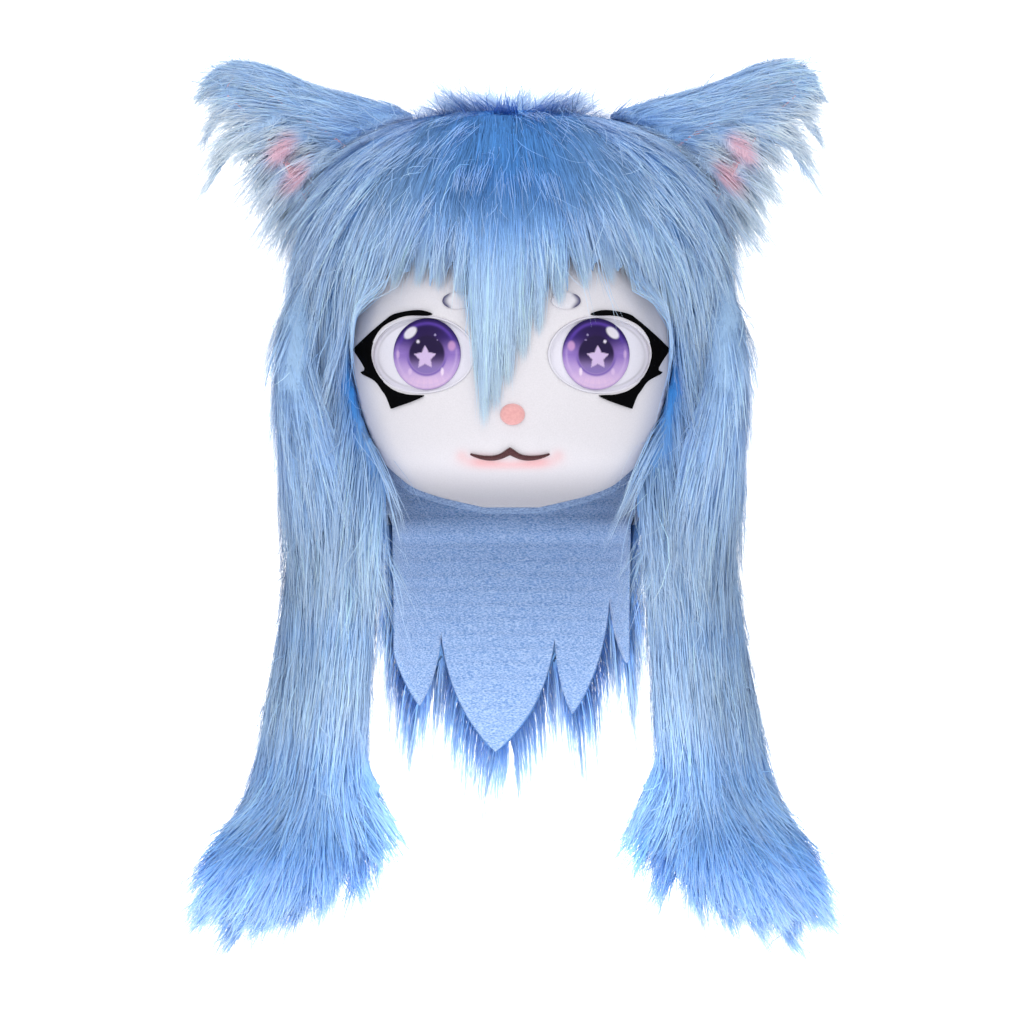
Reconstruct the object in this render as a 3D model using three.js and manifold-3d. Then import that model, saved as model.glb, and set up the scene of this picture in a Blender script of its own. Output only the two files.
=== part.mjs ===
// Cat-eared fur head costume: a rigid white face, a fur hood with ears, long side hair and a nape cape.
// Millimetres, +Z up, the face looks along -Y. The origin is the inside roof of the hood, where it sits.

import * as THREE from "three";
import { mergeVertices } from "three/addons/utils/BufferGeometryUtils.js";
import loadManifold from "manifold-3d";

const wasm = await loadManifold();
wasm.setup();

// Driving sizes

const fit = 0.3;
const clothWall = 3;
const faceWall = 4;
const roundness = 2.3;

const hollow = { height: 300, halfWidth: 137, front: 147, back: 135 };
const pile = { side: 36, top: 33, back: 27 };
const coatFront = 132;
const face = { top: 58, height: 228, halfWidth: 129 };
const throat = { halfWidth: 100, height: 52, jawBand: 5 };
const muzzle = { z: -232, lift: 12, halfWidth: 40, halfHeight: 30 };
const eye = { x: 70.4, z: -165.6, halfWidth: 42, halfHeight: 31, recess: 7, wall: 1.5, step: 1 };
const iris = { x: 66.8, z: -165, halfWidth: 26.7, halfHeight: 28.2, thickness: 1 };
const trimThickness = 2.4;
const nose = { x: 0.8, z: -213, halfWidth: 9.8, halfHeight: 8.5, lift: 6 };
const mouth = { x: -1.2, z: -244.5, halfWidth: 31.4, dip: 6.8, peak: 5, line: 0.7, dipAt: 0.55 };
const brow = { x: 43, z: -123.2, halfWidth: 11.5, halfHeight: 6.6 };
const ear = {
  x: 38, z: 7, length: 175, height: 125, thickness: 44, y: -6, lockWidth: 22, lockThickness: 11,
  liningWall: 2, cupDepth: 27, cupFrom: 0.36, cupTo: 0.93, cupEnd: 30,
};
const cheek = { height: 205, halfWidth: 46, halfDepth: 41 };
const tail = { length: 345, halfWidth: 43, halfDepth: 34, lockWidth: 34, lockThickness: 22, lockLength: 90 };
const bangs = { thickness: 15, whorlX: -4, whorlZ: -22, lift: 14, backing: 8, bite: 12 };
const cape = {
  length: 187, wall: 2, halfWidth: 103, spread: 75, pile: 20, bite: 14, lockWidth: 24, lockThickness: 19,
};
const coatLocks = { width: 62, thickness: 22, lift: 9, bite: 4, overHem: 14 };
const tuft = { x: 41, height: 8, root: 16, lean: 6, width: 30, thickness: 24 };

// Far enough to cut clean through whatever lies there
const cutPast = 30;

// Tables: every entry is a share of the named size that it follows

const headRows = [
  { drop: 0.012, width: 0.25, front: 0.24, back: 0.27 },
  { drop: 0.05, width: 0.48, front: 0.46, back: 0.52 },
  { drop: 0.12, width: 0.7, front: 0.67, back: 0.74 },
  { drop: 0.21, width: 0.85, front: 0.81, back: 0.88 },
  { drop: 0.33, width: 0.955, front: 0.92, back: 0.97 },
  { drop: 0.46, width: 1.0, front: 0.985, back: 1.0 },
  { drop: 0.58, width: 1.0, front: 1.0, back: 0.985 },
  { drop: 0.7, width: 0.965, front: 0.985, back: 0.95 },
  { drop: 0.81, width: 0.9, front: 0.93, back: 0.9 },
  { drop: 0.9, width: 0.82, front: 0.8, back: 0.85 },
  { drop: 0.96, width: 0.76, front: 0.66, back: 0.82 },
  { drop: 1.0, width: 0.72, front: 0.56, back: 0.8 },
];

const coatRows = [
  { drop: 0.01, width: 0.3, front: 0.36, back: 0.3 },
  { drop: 0.035, width: 0.55, front: 0.62, back: 0.54 },
  { drop: 0.085, width: 0.75, front: 0.79, back: 0.75 },
  { drop: 0.165, width: 0.9, front: 0.91, back: 0.9 },
  { drop: 0.265, width: 0.975, front: 0.99, back: 0.97 },
  { drop: 0.36, width: 1.0, front: 1.0, back: 1.0 },
  { drop: 0.48, width: 1.0, front: 0.93, back: 1.0 },
  { drop: 0.6, width: 1.0, front: 0.88, back: 0.98 },
  { drop: 0.72, width: 0.995, front: 0.88, back: 0.95 },
  { drop: 0.84, width: 0.975, front: 0.89, back: 0.91 },
  { drop: 0.93, width: 0.94, front: 0.86, back: 0.87 },
  { drop: 1.0, width: 0.89, front: 0.82, back: 0.83 },
];

const faceRows = [
  { drop: 0.0, width: 0.45 },
  { drop: 0.05, width: 0.68 },
  { drop: 0.14, width: 0.84 },
  { drop: 0.25, width: 0.94 },
  { drop: 0.36, width: 0.985 },
  { drop: 0.47, width: 1.0 },
  { drop: 0.58, width: 0.965 },
  { drop: 0.67, width: 0.92 },
  { drop: 0.74, width: 0.875 },
  { drop: 0.8, width: 0.83 },
  { drop: 0.85, width: 0.775 },
  { drop: 0.895, width: 0.69 },
  { drop: 0.93, width: 0.605 },
  { drop: 0.96, width: 0.465 },
  { drop: 0.98, width: 0.325 },
  { drop: 1.0, width: 0.17 },
];

// Outline of the black lash as shares of the eye opening, from its centre: out is away from the nose
const lashOutline = [
  { out: -0.16, up: 1.06 },
  { out: 0.09, up: 1.14 },
  { out: 0.51, up: 1.06 },
  { out: 0.71, up: 0.90 },
  { out: 1.04, up: 0.54 },
  { out: 1.34, up: 0.18 },
  { out: 1.11, up: -0.31 },
  { out: 1.19, up: -0.41 },
  { out: 1.15, up: -0.47 },
  { out: 0.91, up: -0.65 },
  { out: 0.77, up: -0.90 },
  { out: 0.69, up: -1.06 },
  { out: 0.60, up: -1.37 },
  { out: 0.24, up: -1.21 },
  { out: -0.01, up: -1.06 },
  { out: 0.07, up: -1.03 },
  { out: 0.31, up: -1.01 },
  { out: 0.56, up: -0.90 },
  { out: 0.79, up: -0.65 },
  { out: 0.95, up: -0.31 },
  { out: 1.01, up: 0.05 },
  { out: 0.95, up: 0.41 },
  { out: 0.79, up: 0.72 },
  { out: 0.56, up: 0.90 },
  { out: 0.31, up: 1.00 },
  { out: -0.10, up: 1.00 },
];

// Ear sections from the root inside the coat to the tip, each from its upper edge to its lower edge
const earRows = [
  { upX: 0.13, upZ: 0.0, lowX: 0.55, lowZ: -0.82, thick: 1.0 },
  { upX: 0.24, upZ: 0.23, lowX: 0.71, lowZ: -0.73, thick: 1.0 },
  { upX: 0.465, upZ: 0.32, lowX: 0.81, lowZ: -0.39, thick: 0.9 },
  { upX: 0.675, upZ: 0.39, lowX: 0.89, lowZ: -0.14, thick: 0.76 },
  { upX: 0.86, upZ: 0.51, lowX: 0.995, lowZ: 0.1, thick: 0.6 },
  { upX: 1.01, upZ: 0.56, lowX: 1.14, lowZ: 0.31, thick: 0.42 },
  { upX: 1.13, upZ: 0.52, lowX: 1.21, lowZ: 0.41, thick: 0.22 },
];

// Locks of the ear: from the inner edge across the lining, and hanging off the tip
const earLocks = [
  { rootX: 0.32, rootZ: 0.02, tipX: 0.76, tipZ: -0.66, front: 0.6 },
  { rootX: 0.44, rootZ: 0.12, tipX: 0.87, tipZ: -0.44, front: 0.6 },
  { rootX: 0.58, rootZ: 0.22, tipX: 0.98, tipZ: -0.26, front: 0.55 },
  { rootX: 0.72, rootZ: 0.3, tipX: 1.07, tipZ: -0.07, front: 0.5 },
  { rootX: 0.87, rootZ: 0.41, tipX: 1.15, tipZ: -0.23, front: 0.1 },
  { rootX: 0.98, rootZ: 0.47, tipX: 1.24, tipZ: -0.1, front: 0.0 },
  { rootX: 1.05, rootZ: 0.49, tipX: 1.27, tipZ: 0.22, front: -0.2 },
];

const earBend = { rootY: 0.27, x: 0.6, z: 0.35 };

// Side hair sections below the ear and down the tail; x is a share of the coat's half width
const cheekRows = [
  { drop: 0.0, x: 0.93, y: -0.26, width: 0.16, depth: 0.5 },
  { drop: 0.2, x: 0.96, y: -0.3, width: 0.42, depth: 1.0 },
  { drop: 0.45, x: 0.965, y: -0.32, width: 0.46, depth: 1.3 },
  { drop: 0.75, x: 0.87, y: -0.34, width: 0.76, depth: 1.3 },
  { drop: 0.95, x: 0.81, y: -0.32, width: 0.98, depth: 1.12 },
];
const tailRows = [
  { drop: 0.03, x: 0.805, y: -0.27, width: 0.92, depth: 0.94 },
  { drop: 0.17, x: 0.83, y: -0.2, width: 0.9, depth: 0.94 },
  { drop: 0.37, x: 0.875, y: -0.14, width: 0.98, depth: 1.0 },
  { drop: 0.53, x: 0.915, y: -0.1, width: 1.06, depth: 1.06 },
  { drop: 0.66, x: 0.96, y: -0.08, width: 1.15, depth: 1.06 },
  { drop: 0.76, x: 1.02, y: -0.08, width: 1.2, depth: 0.94 },
  { drop: 0.83, x: 1.1, y: -0.08, width: 1.04, depth: 0.72 },
  { drop: 0.9, x: 1.19, y: -0.08, width: 0.62, depth: 0.44 },
];

// Tips of the fringe at the tail's end, as shares of the coat's half width and the tail's length
const tailTips = [
  { x: 0.62, drop: 0.79 },
  { x: 0.72, drop: 0.86 },
  { x: 0.84, drop: 0.9 },
  { x: 0.98, drop: 0.94 },
  { x: 1.13, drop: 0.98 },
  { x: 1.27, drop: 1.0 },
  { x: 1.39, drop: 0.95 },
  { x: 1.45, drop: 0.87 },
];

const fringeShares = { rootX: 0.62, rootY: 0.35, bendDrop: 0.62, bendY: 0.47, tipY: 0.12 };

// Locks of the bangs: tips as shares of the face's half width and height, from the face's top
const bangLocks = [
  { x: -0.86, drop: 0.27, width: 30 },
  { x: -0.69, drop: 0.24, width: 32 },
  { x: -0.52, drop: 0.27, width: 30 },
  { x: -0.36, drop: 0.31, width: 26 },
  { x: -0.22, drop: 0.42, width: 30 },
  { x: -0.17, drop: 0.73, width: 44 },
  { x: 0.02, drop: 0.52, width: 34 },
  { x: 0.2, drop: 0.36, width: 28 },
  { x: 0.36, drop: 0.29, width: 28 },
  { x: 0.54, drop: 0.25, width: 32 },
  { x: 0.7, drop: 0.24, width: 32 },
  { x: 0.87, drop: 0.27, width: 30 },
];

const bangShares = { rootX: 0.3, bendX: 0.85, bendDrop: 0.42, rootLift: 0.2, tipLift: 0.25 };

// The body of the bangs under its locks, from the whorl to the hairline
const bangBackingRows = [
  { drop: 0.03, halfWidth: 0.26 },
  { drop: 0.07, halfWidth: 0.46 },
  { drop: 0.15, halfWidth: 0.64 },
  { drop: 0.27, halfWidth: 0.79 },
];
const bangBackingColumns = [-1, -0.68, -0.32, 0, 0.32, 0.68, 1];

// Lobes of the cape: tips and the slits after them, as shares of its half width and length
const capeLobes = [
  { tipX: -0.74, tipDrop: 0.79, slitX: -0.57, slitDrop: 0.47 },
  { tipX: -0.13, tipDrop: 1.0, slitX: 0.35, slitDrop: 0.5 },
  { tipX: 0.49, tipDrop: 0.83, slitX: 0.79, slitDrop: 0.31 },
  { tipX: 0.92, tipDrop: 0.6, slitX: 1.1, slitDrop: 0.3 },
];
const capeStart = { x: -1.02, drop: 0.3 };
const lobeBulge = { across: 0.15, down: 0.62 };

// The cape hangs from the hood's hem and draws in behind as it spreads; its grid reaches past its tips
const capeTop = { width: 0.73, back: 0.81 };
const capeEnd = { width: 0.8, back: 0.72 };
const capeReach = 1.12;

// Fringe of the cape: tips of the fur that hangs past the lobes
const capeTips = [
  { x: -0.97, drop: 0.74 },
  { x: -0.83, drop: 1.06 },
  { x: -0.62, drop: 0.93 },
  { x: -0.42, drop: 1.02 },
  { x: -0.22, drop: 1.2 },
  { x: -0.03, drop: 1.27 },
  { x: 0.17, drop: 1.14 },
  { x: 0.37, drop: 0.98 },
  { x: 0.58, drop: 1.04 },
  { x: 0.78, drop: 0.9 },
  { x: 0.97, drop: 0.72 },
];

const capeBackingShare = 0.8;
const capeLockShares = [
  { along: 0.5, lift: 0 },
  { along: 0.8, lift: 3 },
  { along: 1.0, lift: -4 },
];

// Rows of hanging locks on the back of the coat: z is a share of the hollow's height, angles in degrees
const coatLockRows = [
  { z: 0.1, reach: 95, count: 4, from: 132, to: 228 },
  { z: 0.35, reach: 105, count: 5, from: 120, to: 240 },
  { z: 0.65, reach: 120, count: 5, from: 114, to: 246 },
];

// Sizes that follow from the driving sizes

const hem = -hollow.height;
const coat = {
  top: clothWall + pile.top,
  height: hollow.height + clothWall + pile.top,
  halfWidth: hollow.halfWidth + clothWall + pile.side,
  front: coatFront,
  back: hollow.back + clothWall + pile.back,
};

// Geometry helpers

function vec(x, y, z) {
  return new THREE.Vector3(x, y, z);
}

function lerp(a, b, t) {
  return a + (b - a) * t;
}

function readRow(rows, key, drop) {
  const last = rows.length - 1;
  const found = rows.findIndex((row) => row.drop >= drop);
  const upper = Math.min(Math.max(found < 0 ? last : found, 1), last);
  const before = rows[upper - 1];
  const after = rows[upper];
  const t = THREE.MathUtils.clamp((drop - before.drop) / (after.drop - before.drop), 0, 1);
  const slope = (index) => {
    const low = rows[Math.max(index - 1, 0)];
    const high = rows[Math.min(index + 1, last)];
    return (high[key] - low[key]) / (high.drop - low.drop);
  };
  const span = after.drop - before.drop;
  const startSlope = slope(upper - 1) * span;
  const endSlope = slope(upper) * span;
  const t2 = t * t;
  const t3 = t2 * t;
  return (
    before[key] * (2 * t3 - 3 * t2 + 1) +
    startSlope * (t3 - 2 * t2 + t) +
    after[key] * (3 * t2 - 2 * t3) +
    endSlope * (t3 - t2)
  );
}

function geometryOf(points, faces) {
  const geometry = new THREE.BufferGeometry();
  geometry.setAttribute("position", new THREE.Float32BufferAttribute(points.flatMap((p) => p.toArray()), 3));
  geometry.setIndex(faces);
  return signedVolume(geometry) < 0 ? geometryOf(points, faces.slice().reverse()) : geometry;
}

function signedVolume(geometry) {
  const position = geometry.getAttribute("position");
  const index = geometry.getIndex().array;
  const [a, b, c] = [vec(0, 0, 0), vec(0, 0, 0), vec(0, 0, 0)];
  let volume = 0;
  for (let i = 0; i < index.length; i += 3) {
    a.fromBufferAttribute(position, index[i]);
    b.fromBufferAttribute(position, index[i + 1]);
    c.fromBufferAttribute(position, index[i + 2]);
    volume += a.dot(b.cross(c)) / 6;
  }
  return volume;
}

// A closed body through rings of points; a ring of one point is a pole, and other ends are capped
function loft(rings) {
  const sides = Math.max(...rings.map((ring) => ring.length));
  const points = rings.flat();
  const starts = [];
  rings.reduce((count, ring) => {
    starts.push(count);
    return count + ring.length;
  }, 0);
  const at = (ring, side) => starts[ring] + (rings[ring].length > 1 ? side % sides : 0);
  const faces = [];
  for (let ring = 0; ring + 1 < rings.length; ring += 1) {
    for (let side = 0; side < sides; side += 1) {
      const quad = [at(ring, side), at(ring, side + 1), at(ring + 1, side + 1), at(ring + 1, side)];
      if (quad[0] !== quad[1]) faces.push(quad[0], quad[1], quad[2]);
      if (quad[2] !== quad[3]) faces.push(quad[0], quad[2], quad[3]);
    }
  }
  [0, rings.length - 1].forEach((end) => {
    const ring = rings[end];
    if (ring.length === 1) return;
    const centre = ring.reduce((sum, p) => sum.add(p), vec(0, 0, 0)).divideScalar(ring.length);
    points.push(centre);
    for (let side = 0; side < sides; side += 1) {
      const edge = end === 0 ? [at(end, side + 1), at(end, side)] : [at(end, side), at(end, side + 1)];
      faces.push(edge[0], edge[1], points.length - 1);
    }
  });
  return geometryOf(points, faces);
}

// A closed body between two grids of points that share their rows and columns. The left half of a grid
// has its quads split the other way, so a body that is symmetric in X has symmetric faces.
function slab(front, back) {
  const rows = front.length;
  const columns = front[0].length;
  const points = [...front.flat(), ...back.flat()];
  const at = (layer, row, column) => layer * rows * columns + row * columns + column;
  const faces = [];
  const quad = (a, b, c, d) => faces.push(a, b, c, a, c, d);
  for (let row = 0; row + 1 < rows; row += 1) {
    for (let column = 0; column + 1 < columns; column += 1) {
      const ring = [[row, column], [row, column + 1], [row + 1, column + 1], [row + 1, column]];
      if (column * 2 < columns - 1) ring.push(ring.shift());
      const [a, b, c, d] = ring;
      quad(...[a, b, c, d].map((corner) => at(0, ...corner)));
      quad(...[a, d, c, b].map((corner) => at(1, ...corner)));
    }
  }
  const border = [];
  for (let column = 0; column < columns; column += 1) border.push([0, column]);
  for (let row = 1; row < rows; row += 1) border.push([row, columns - 1]);
  for (let column = columns - 2; column >= 0; column -= 1) border.push([rows - 1, column]);
  for (let row = rows - 2; row > 0; row -= 1) border.push([row, 0]);
  border.forEach((here, index) => {
    const next = border[(index + 1) % border.length];
    quad(at(0, ...next), at(0, ...here), at(1, ...here), at(1, ...next));
  });
  return geometryOf(points, faces);
}

function bare(geometry) {
  const copy = geometry.clone();
  copy.deleteAttribute("normal");
  copy.deleteAttribute("uv");
  return mergeVertices(copy, 1e-4);
}

function solid(geometry) {
  const merged = bare(geometry);
  const mesh = new wasm.Mesh({
    numProp: 3,
    vertProperties: merged.getAttribute("position").array,
    triVerts: new Uint32Array(merged.getIndex().array),
  });
  return new wasm.Manifold(mesh);
}

// The same body with each corner moved out along the surface's normal
function grow(geometry, distance) {
  const grown = bare(geometry);
  grown.computeVertexNormals();
  const position = grown.getAttribute("position");
  const normal = grown.getAttribute("normal");
  for (let i = 0; i < position.count; i += 1) {
    position.setXYZ(
      i,
      position.getX(i) + normal.getX(i) * distance,
      position.getY(i) + normal.getY(i) * distance,
      position.getZ(i) + normal.getZ(i) * distance,
    );
  }
  return grown;
}

function join(solids) {
  return solids.reduce((sum, next) => sum.add(next));
}

// The largest connected body, without the crumbs that a cut can leave
function mainBody(body) {
  return body.decompose().reduce((best, next) => (next.volume() > best.volume() ? next : best));
}

function meshOf(name, body, material) {
  const { vertProperties, triVerts } = mainBody(body).getMesh();
  const geometry = new THREE.BufferGeometry();
  geometry.setAttribute("position", new THREE.BufferAttribute(new Float32Array(vertProperties), 3));
  geometry.setIndex(new THREE.BufferAttribute(new Uint32Array(triVerts), 1));
  geometry.computeVertexNormals();
  const mesh = new THREE.Mesh(geometry, material);
  mesh.name = name;
  return mesh;
}

// An outline in the plane of X and Z, run through along Y
function prism(shape, nearY, farY, curveSegments = 11) {
  const depth = farY - nearY;
  const geometry = new THREE.ExtrudeGeometry(shape, { depth, bevelEnabled: false, curveSegments });
  geometry.rotateX(Math.PI / 2);
  geometry.translate(0, farY, 0);
  return solid(geometry);
}

function ellipse(x, z, halfWidth, halfHeight) {
  return new THREE.Shape().absellipse(x, z, halfWidth, halfHeight, 0, Math.PI * 2);
}

function mirrored(body) {
  return body.mirror([1, 0, 0]);
}

// A tapered, bent lock of fur: flat sections along a curve, largest near the root and closed at the tip
const lockSections = [
  { along: 0.0, size: 0.68 },
  { along: 0.3, size: 1.0 },
  { along: 0.72, size: 0.62 },
];
const lockSides = 4;

function lock(root, bend, tip, facing, width, thickness) {
  const curve = new THREE.QuadraticBezierCurve3(root, bend, tip);
  const rings = lockSections.map(({ along, size }) => {
    const centre = curve.getPoint(along);
    const across = curve.getTangent(along).cross(facing).normalize();
    const out = across.clone().cross(curve.getTangent(along)).normalize();
    return Array.from({ length: lockSides }, (_, side) => {
      const angle = (side / lockSides) * Math.PI * 2;
      return centre
        .clone()
        .addScaledVector(across, (Math.cos(angle) * width * size) / 2)
        .addScaledVector(out, (Math.sin(angle) * thickness * size) / 2);
    });
  });
  return solid(loft([...rings, [tip]]));
}

// Closed sections that are rounder than a box and fuller than an ellipse

function roundedShare(share) {
  return (1 - Math.min(Math.abs(share), 1) ** roundness) ** (1 / roundness);
}

function sectionRing(halfWidth, front, back, z, sides) {
  return Array.from({ length: sides }, (_, side) => {
    const angle = (side / sides) * Math.PI * 2;
    const [sine, cosine] = [Math.sin(angle), Math.cos(angle)];
    const reach = (Math.abs(sine) ** roundness + Math.abs(cosine) ** roundness) ** (-1 / roundness);
    const depth = cosine > 0 ? front : back;
    return vec(halfWidth * sine * reach, -depth * cosine * reach, z);
  });
}

function domeForm(form, rows, top, sides) {
  const rings = rows.map((row) => {
    const [front, back] = [form.front * row.front, form.back * row.back];
    return sectionRing(form.halfWidth * row.width, front, back, top - form.height * row.drop, sides);
  });
  return [[vec(0, 0, top)], ...rings];
}

// Face

const faceColumns = 12;

function headFront(x, z) {
  const drop = (clothWall - z) / (hollow.height + clothWall);
  const halfWidth = (hollow.halfWidth + clothWall) * readRow(headRows, "width", drop);
  const front = (hollow.front + clothWall) * readRow(headRows, "front", drop);
  return -front * roundedShare(x / halfWidth);
}

function muzzleLift(x, z) {
  const across = x / muzzle.halfWidth;
  const up = (z - muzzle.z) / muzzle.halfHeight;
  return muzzle.lift * Math.exp(-(across * across + up * up) / 2);
}

function faceY(x, z) {
  return headFront(x, z) - muzzleLift(x, z);
}

function faceGrid(rows, shift) {
  return rows.map((row) => {
    const z = -face.top - face.height * row.drop;
    return Array.from({ length: faceColumns + 1 }, (_, column) => {
      const x = face.halfWidth * row.width * Math.sin(((column / faceColumns) * 2 - 1) * (Math.PI / 2));
      return vec(x, faceY(x, z) + shift, z);
    });
  });
}

// The layer of space between two distances behind the face's outer surface
function faceLayer(near, far) {
  return solid(slab(faceGrid(faceRows, near), faceGrid(faceRows, far)));
}

// The outline of the face, moved out by a clearance
function faceOutline(clearance) {
  const right = faceRows.map(({ drop, width }) => {
    return new THREE.Vector2(face.halfWidth * width, -face.top - face.height * drop);
  });
  const left = right.map((p) => new THREE.Vector2(-p.x, p.y)).reverse();
  const points = [...right, ...left];
  const count = points.length;
  const moved = points.map((p, index) => {
    const along = points[(index + 1) % count].clone().sub(points[(index + count - 1) % count]).normalize();
    return new THREE.Vector2(p.x - along.y * clearance, p.y + along.x * clearance);
  });
  return new THREE.Shape(moved);
}

// Below the jaw the front of the hood is open between the side locks
function throatOutline() {
  const { halfWidth } = throat;
  const [top, bottom] = [hem + throat.height, hem - cutPast];
  const corners = [[halfWidth, top], [-halfWidth, top], [-halfWidth, bottom], [halfWidth, bottom]];
  return new THREE.Shape(corners.map(([x, z]) => new THREE.Vector2(x, z)));
}

function eyeOutline(inset) {
  return ellipse(eye.x, eye.z, eye.halfWidth - inset, eye.halfHeight - inset);
}

const throughFront = -2 * hollow.front;

function buildFaceMask() {
  const outside = faceGrid(faceRows, 0);
  const shell = slab(outside, faceGrid(faceRows, faceWall));
  const hole = prism(eyeOutline(0), throughFront, 0);
  return solid(shell).subtract(hole).subtract(mirrored(hole));
}

function buildEyeWhite() {
  const cup = prism(eyeOutline(fit), throughFront, 0).intersect(faceLayer(eye.step, eye.recess + eye.wall));
  const inside = prism(eyeOutline(fit + eye.wall), throughFront, 0);
  const room = inside.intersect(faceLayer(-eye.recess, eye.recess));
  return cup.subtract(room);
}

function buildIris() {
  const outline = prism(ellipse(iris.x, iris.z, iris.halfWidth, iris.halfHeight), throughFront, 0);
  const insideCup = prism(eyeOutline(2 * fit + eye.wall), throughFront, 0);
  const back = eye.recess - fit;
  return outline.intersect(insideCup).intersect(faceLayer(back - iris.thickness, back));
}

function onFace(shape) {
  return prism(shape, throughFront, 0, 5).intersect(faceLayer(-fit - trimThickness, -fit));
}

function buildLash() {
  const centre = { x: eye.x, z: eye.z };
  const points = lashOutline.map(
    ({ out, up }) => new THREE.Vector2(centre.x + out * eye.halfWidth, centre.z + up * eye.halfHeight),
  );
  return onFace(new THREE.Shape(points));
}

function buildBrow() {
  return onFace(ellipse(brow.x, brow.z, brow.halfWidth, brow.halfHeight));
}

function buildMouthLine() {
  const { x, z, halfWidth, dip, peak, line, dipAt } = mouth;
  const shape = new THREE.Shape();
  shape.moveTo(x - halfWidth, z);
  shape.quadraticCurveTo(x - halfWidth * dipAt, z - dip, x, z - line);
  shape.quadraticCurveTo(x + halfWidth * dipAt, z - dip, x + halfWidth, z);
  shape.quadraticCurveTo(x + halfWidth * dipAt, z + line, x, z + peak);
  shape.quadraticCurveTo(x - halfWidth * dipAt, z + line, x - halfWidth, z);
  return onFace(shape);
}

function buildNose() {
  const ball = new THREE.SphereGeometry(1, 12, 6);
  ball.scale(nose.halfWidth, nose.lift, nose.halfHeight);
  ball.translate(nose.x, faceY(nose.x, nose.z) - fit, nose.z);
  return solid(ball).subtract(faceLayer(-fit, hollow.front));
}

// Hood

const hoodSides = 16;
const coatSides = 20;

const hollowRings = domeForm(hollow, headRows, 0, hoodSides);
const hoodOutside = grow(loft(hollowRings), clothWall);

function openEnded(rings, reach) {
  const last = rings[rings.length - 1];
  return loft([...rings, last.map((p) => vec(p.x, p.y, p.z - reach))]);
}

function buildHoodCloth() {
  const shell = solid(hoodOutside).subtract(solid(openEnded(hollowRings, cutPast)));
  const faceOpening = prism(faceOutline(fit), throughFront, 0);
  const jawBand = prism(faceOutline(throat.jawBand), throughFront, 0);
  const neckOpening = prism(throatOutline(), throughFront, 0).subtract(jawBand);
  return shell.subtract(faceOpening).subtract(neckOpening).trimByPlane([0, 0, 1], hem);
}

const coatGeometry = loft(domeForm(coat, coatRows, coat.top, coatSides));

function coatSurface(angle, z) {
  const drop = (coat.top - z) / coat.height;
  const halfWidth = coat.halfWidth * readRow(coatRows, "width", drop);
  const front = coat.front * readRow(coatRows, "front", drop);
  const back = coat.back * readRow(coatRows, "back", drop);
  const [sine, cosine] = [Math.sin(angle), Math.cos(angle)];
  const reach = (Math.abs(sine) ** roundness + Math.abs(cosine) ** roundness) ** (-1 / roundness);
  return vec(halfWidth * sine * reach, -(cosine > 0 ? front : back) * cosine * reach, z);
}

// Nape cape

const capeColumns = 10;
const capeDrops = [0.0, 0.35, 0.7, 1.0];

function capeRing(drop) {
  return {
    halfWidth: hollow.halfWidth * lerp(capeTop.width, capeEnd.width, drop),
    back: hollow.back * lerp(capeTop.back, capeEnd.back, drop),
  };
}

function capeGrid(outward, rise) {
  return capeDrops.map((drop, row) => {
    const ring = capeRing(drop);
    return Array.from({ length: capeColumns + 1 }, (_, column) => {
      const angle = THREE.MathUtils.degToRad(cape.spread) * ((column / capeColumns) * 2 - 1);
      const z = hem - fit + (row === 0 ? rise : -cape.length * capeReach * drop);
      return vec((ring.halfWidth + outward) * Math.sin(angle), (ring.back + outward) * Math.cos(angle), z);
    });
  });
}

// The layer of space between two distances outside the cape's inner face; its top may rise past the hem
function capeLayer(near, far, rise = 0) {
  return solid(slab(capeGrid(near, rise), capeGrid(far, rise)));
}

const behind = 2 * hollow.back;
const capeZ = (drop) => hem - cape.length * drop;

// An outline that holds all of the cape's width above its lower edge, which runs on from the left side
function capeSheetOutline() {
  const shape = new THREE.Shape();
  shape.moveTo(cape.halfWidth * capeReach, 0);
  shape.lineTo(-cape.halfWidth * capeReach, 0);
  return shape;
}

function lobedOutline() {
  const shape = capeSheetOutline();
  shape.lineTo(cape.halfWidth * capeStart.x, capeZ(capeStart.drop));
  let from = capeStart;
  capeLobes.forEach(({ tipX, tipDrop, slitX, slitDrop }) => {
    const edge = (side) => [
      cape.halfWidth * lerp(side.x, tipX, lobeBulge.across),
      capeZ(lerp(side.drop, tipDrop, lobeBulge.down)),
    ];
    const slit = { x: slitX, drop: slitDrop };
    shape.quadraticCurveTo(...edge(from), cape.halfWidth * tipX, capeZ(tipDrop));
    shape.quadraticCurveTo(...edge(slit), cape.halfWidth * slitX, capeZ(slitDrop));
    from = slit;
  });
  return shape;
}

function buildNapeCape() {
  return capeLayer(0, cape.wall).intersect(prism(lobedOutline(), 0, behind, 4));
}

function capeLock({ x, drop }) {
  const middle = cape.wall + fit + cape.pile / 2;
  const point = (share, lift) => {
    const ring = capeRing(Math.min(share, 1));
    const outward = middle + lift;
    const across = THREE.MathUtils.clamp((x * cape.halfWidth) / (ring.halfWidth + outward), -1, 1);
    const y = (ring.back + outward) * Math.sqrt(1 - across * across);
    return vec(x * cape.halfWidth, y, capeZ(share));
  };
  const [root, bend, tip] = capeLockShares.map(({ along, lift }) => point(drop * along, lift));
  const facing = vec(x, 1, 0).normalize();
  return lock(root, bend, tip, facing, cape.lockWidth, cape.lockThickness);
}

function buildCapeFur() {
  const near = cape.wall + fit;
  const shape = capeSheetOutline();
  capeTips.forEach(({ x, drop }) => shape.lineTo(x * cape.halfWidth, capeZ(drop * capeBackingShare)));
  const backing = capeLayer(near, near + cape.pile, cape.bite).intersect(prism(shape, 0, behind));
  return join([backing, ...capeTips.map(capeLock)]);
}

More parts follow.
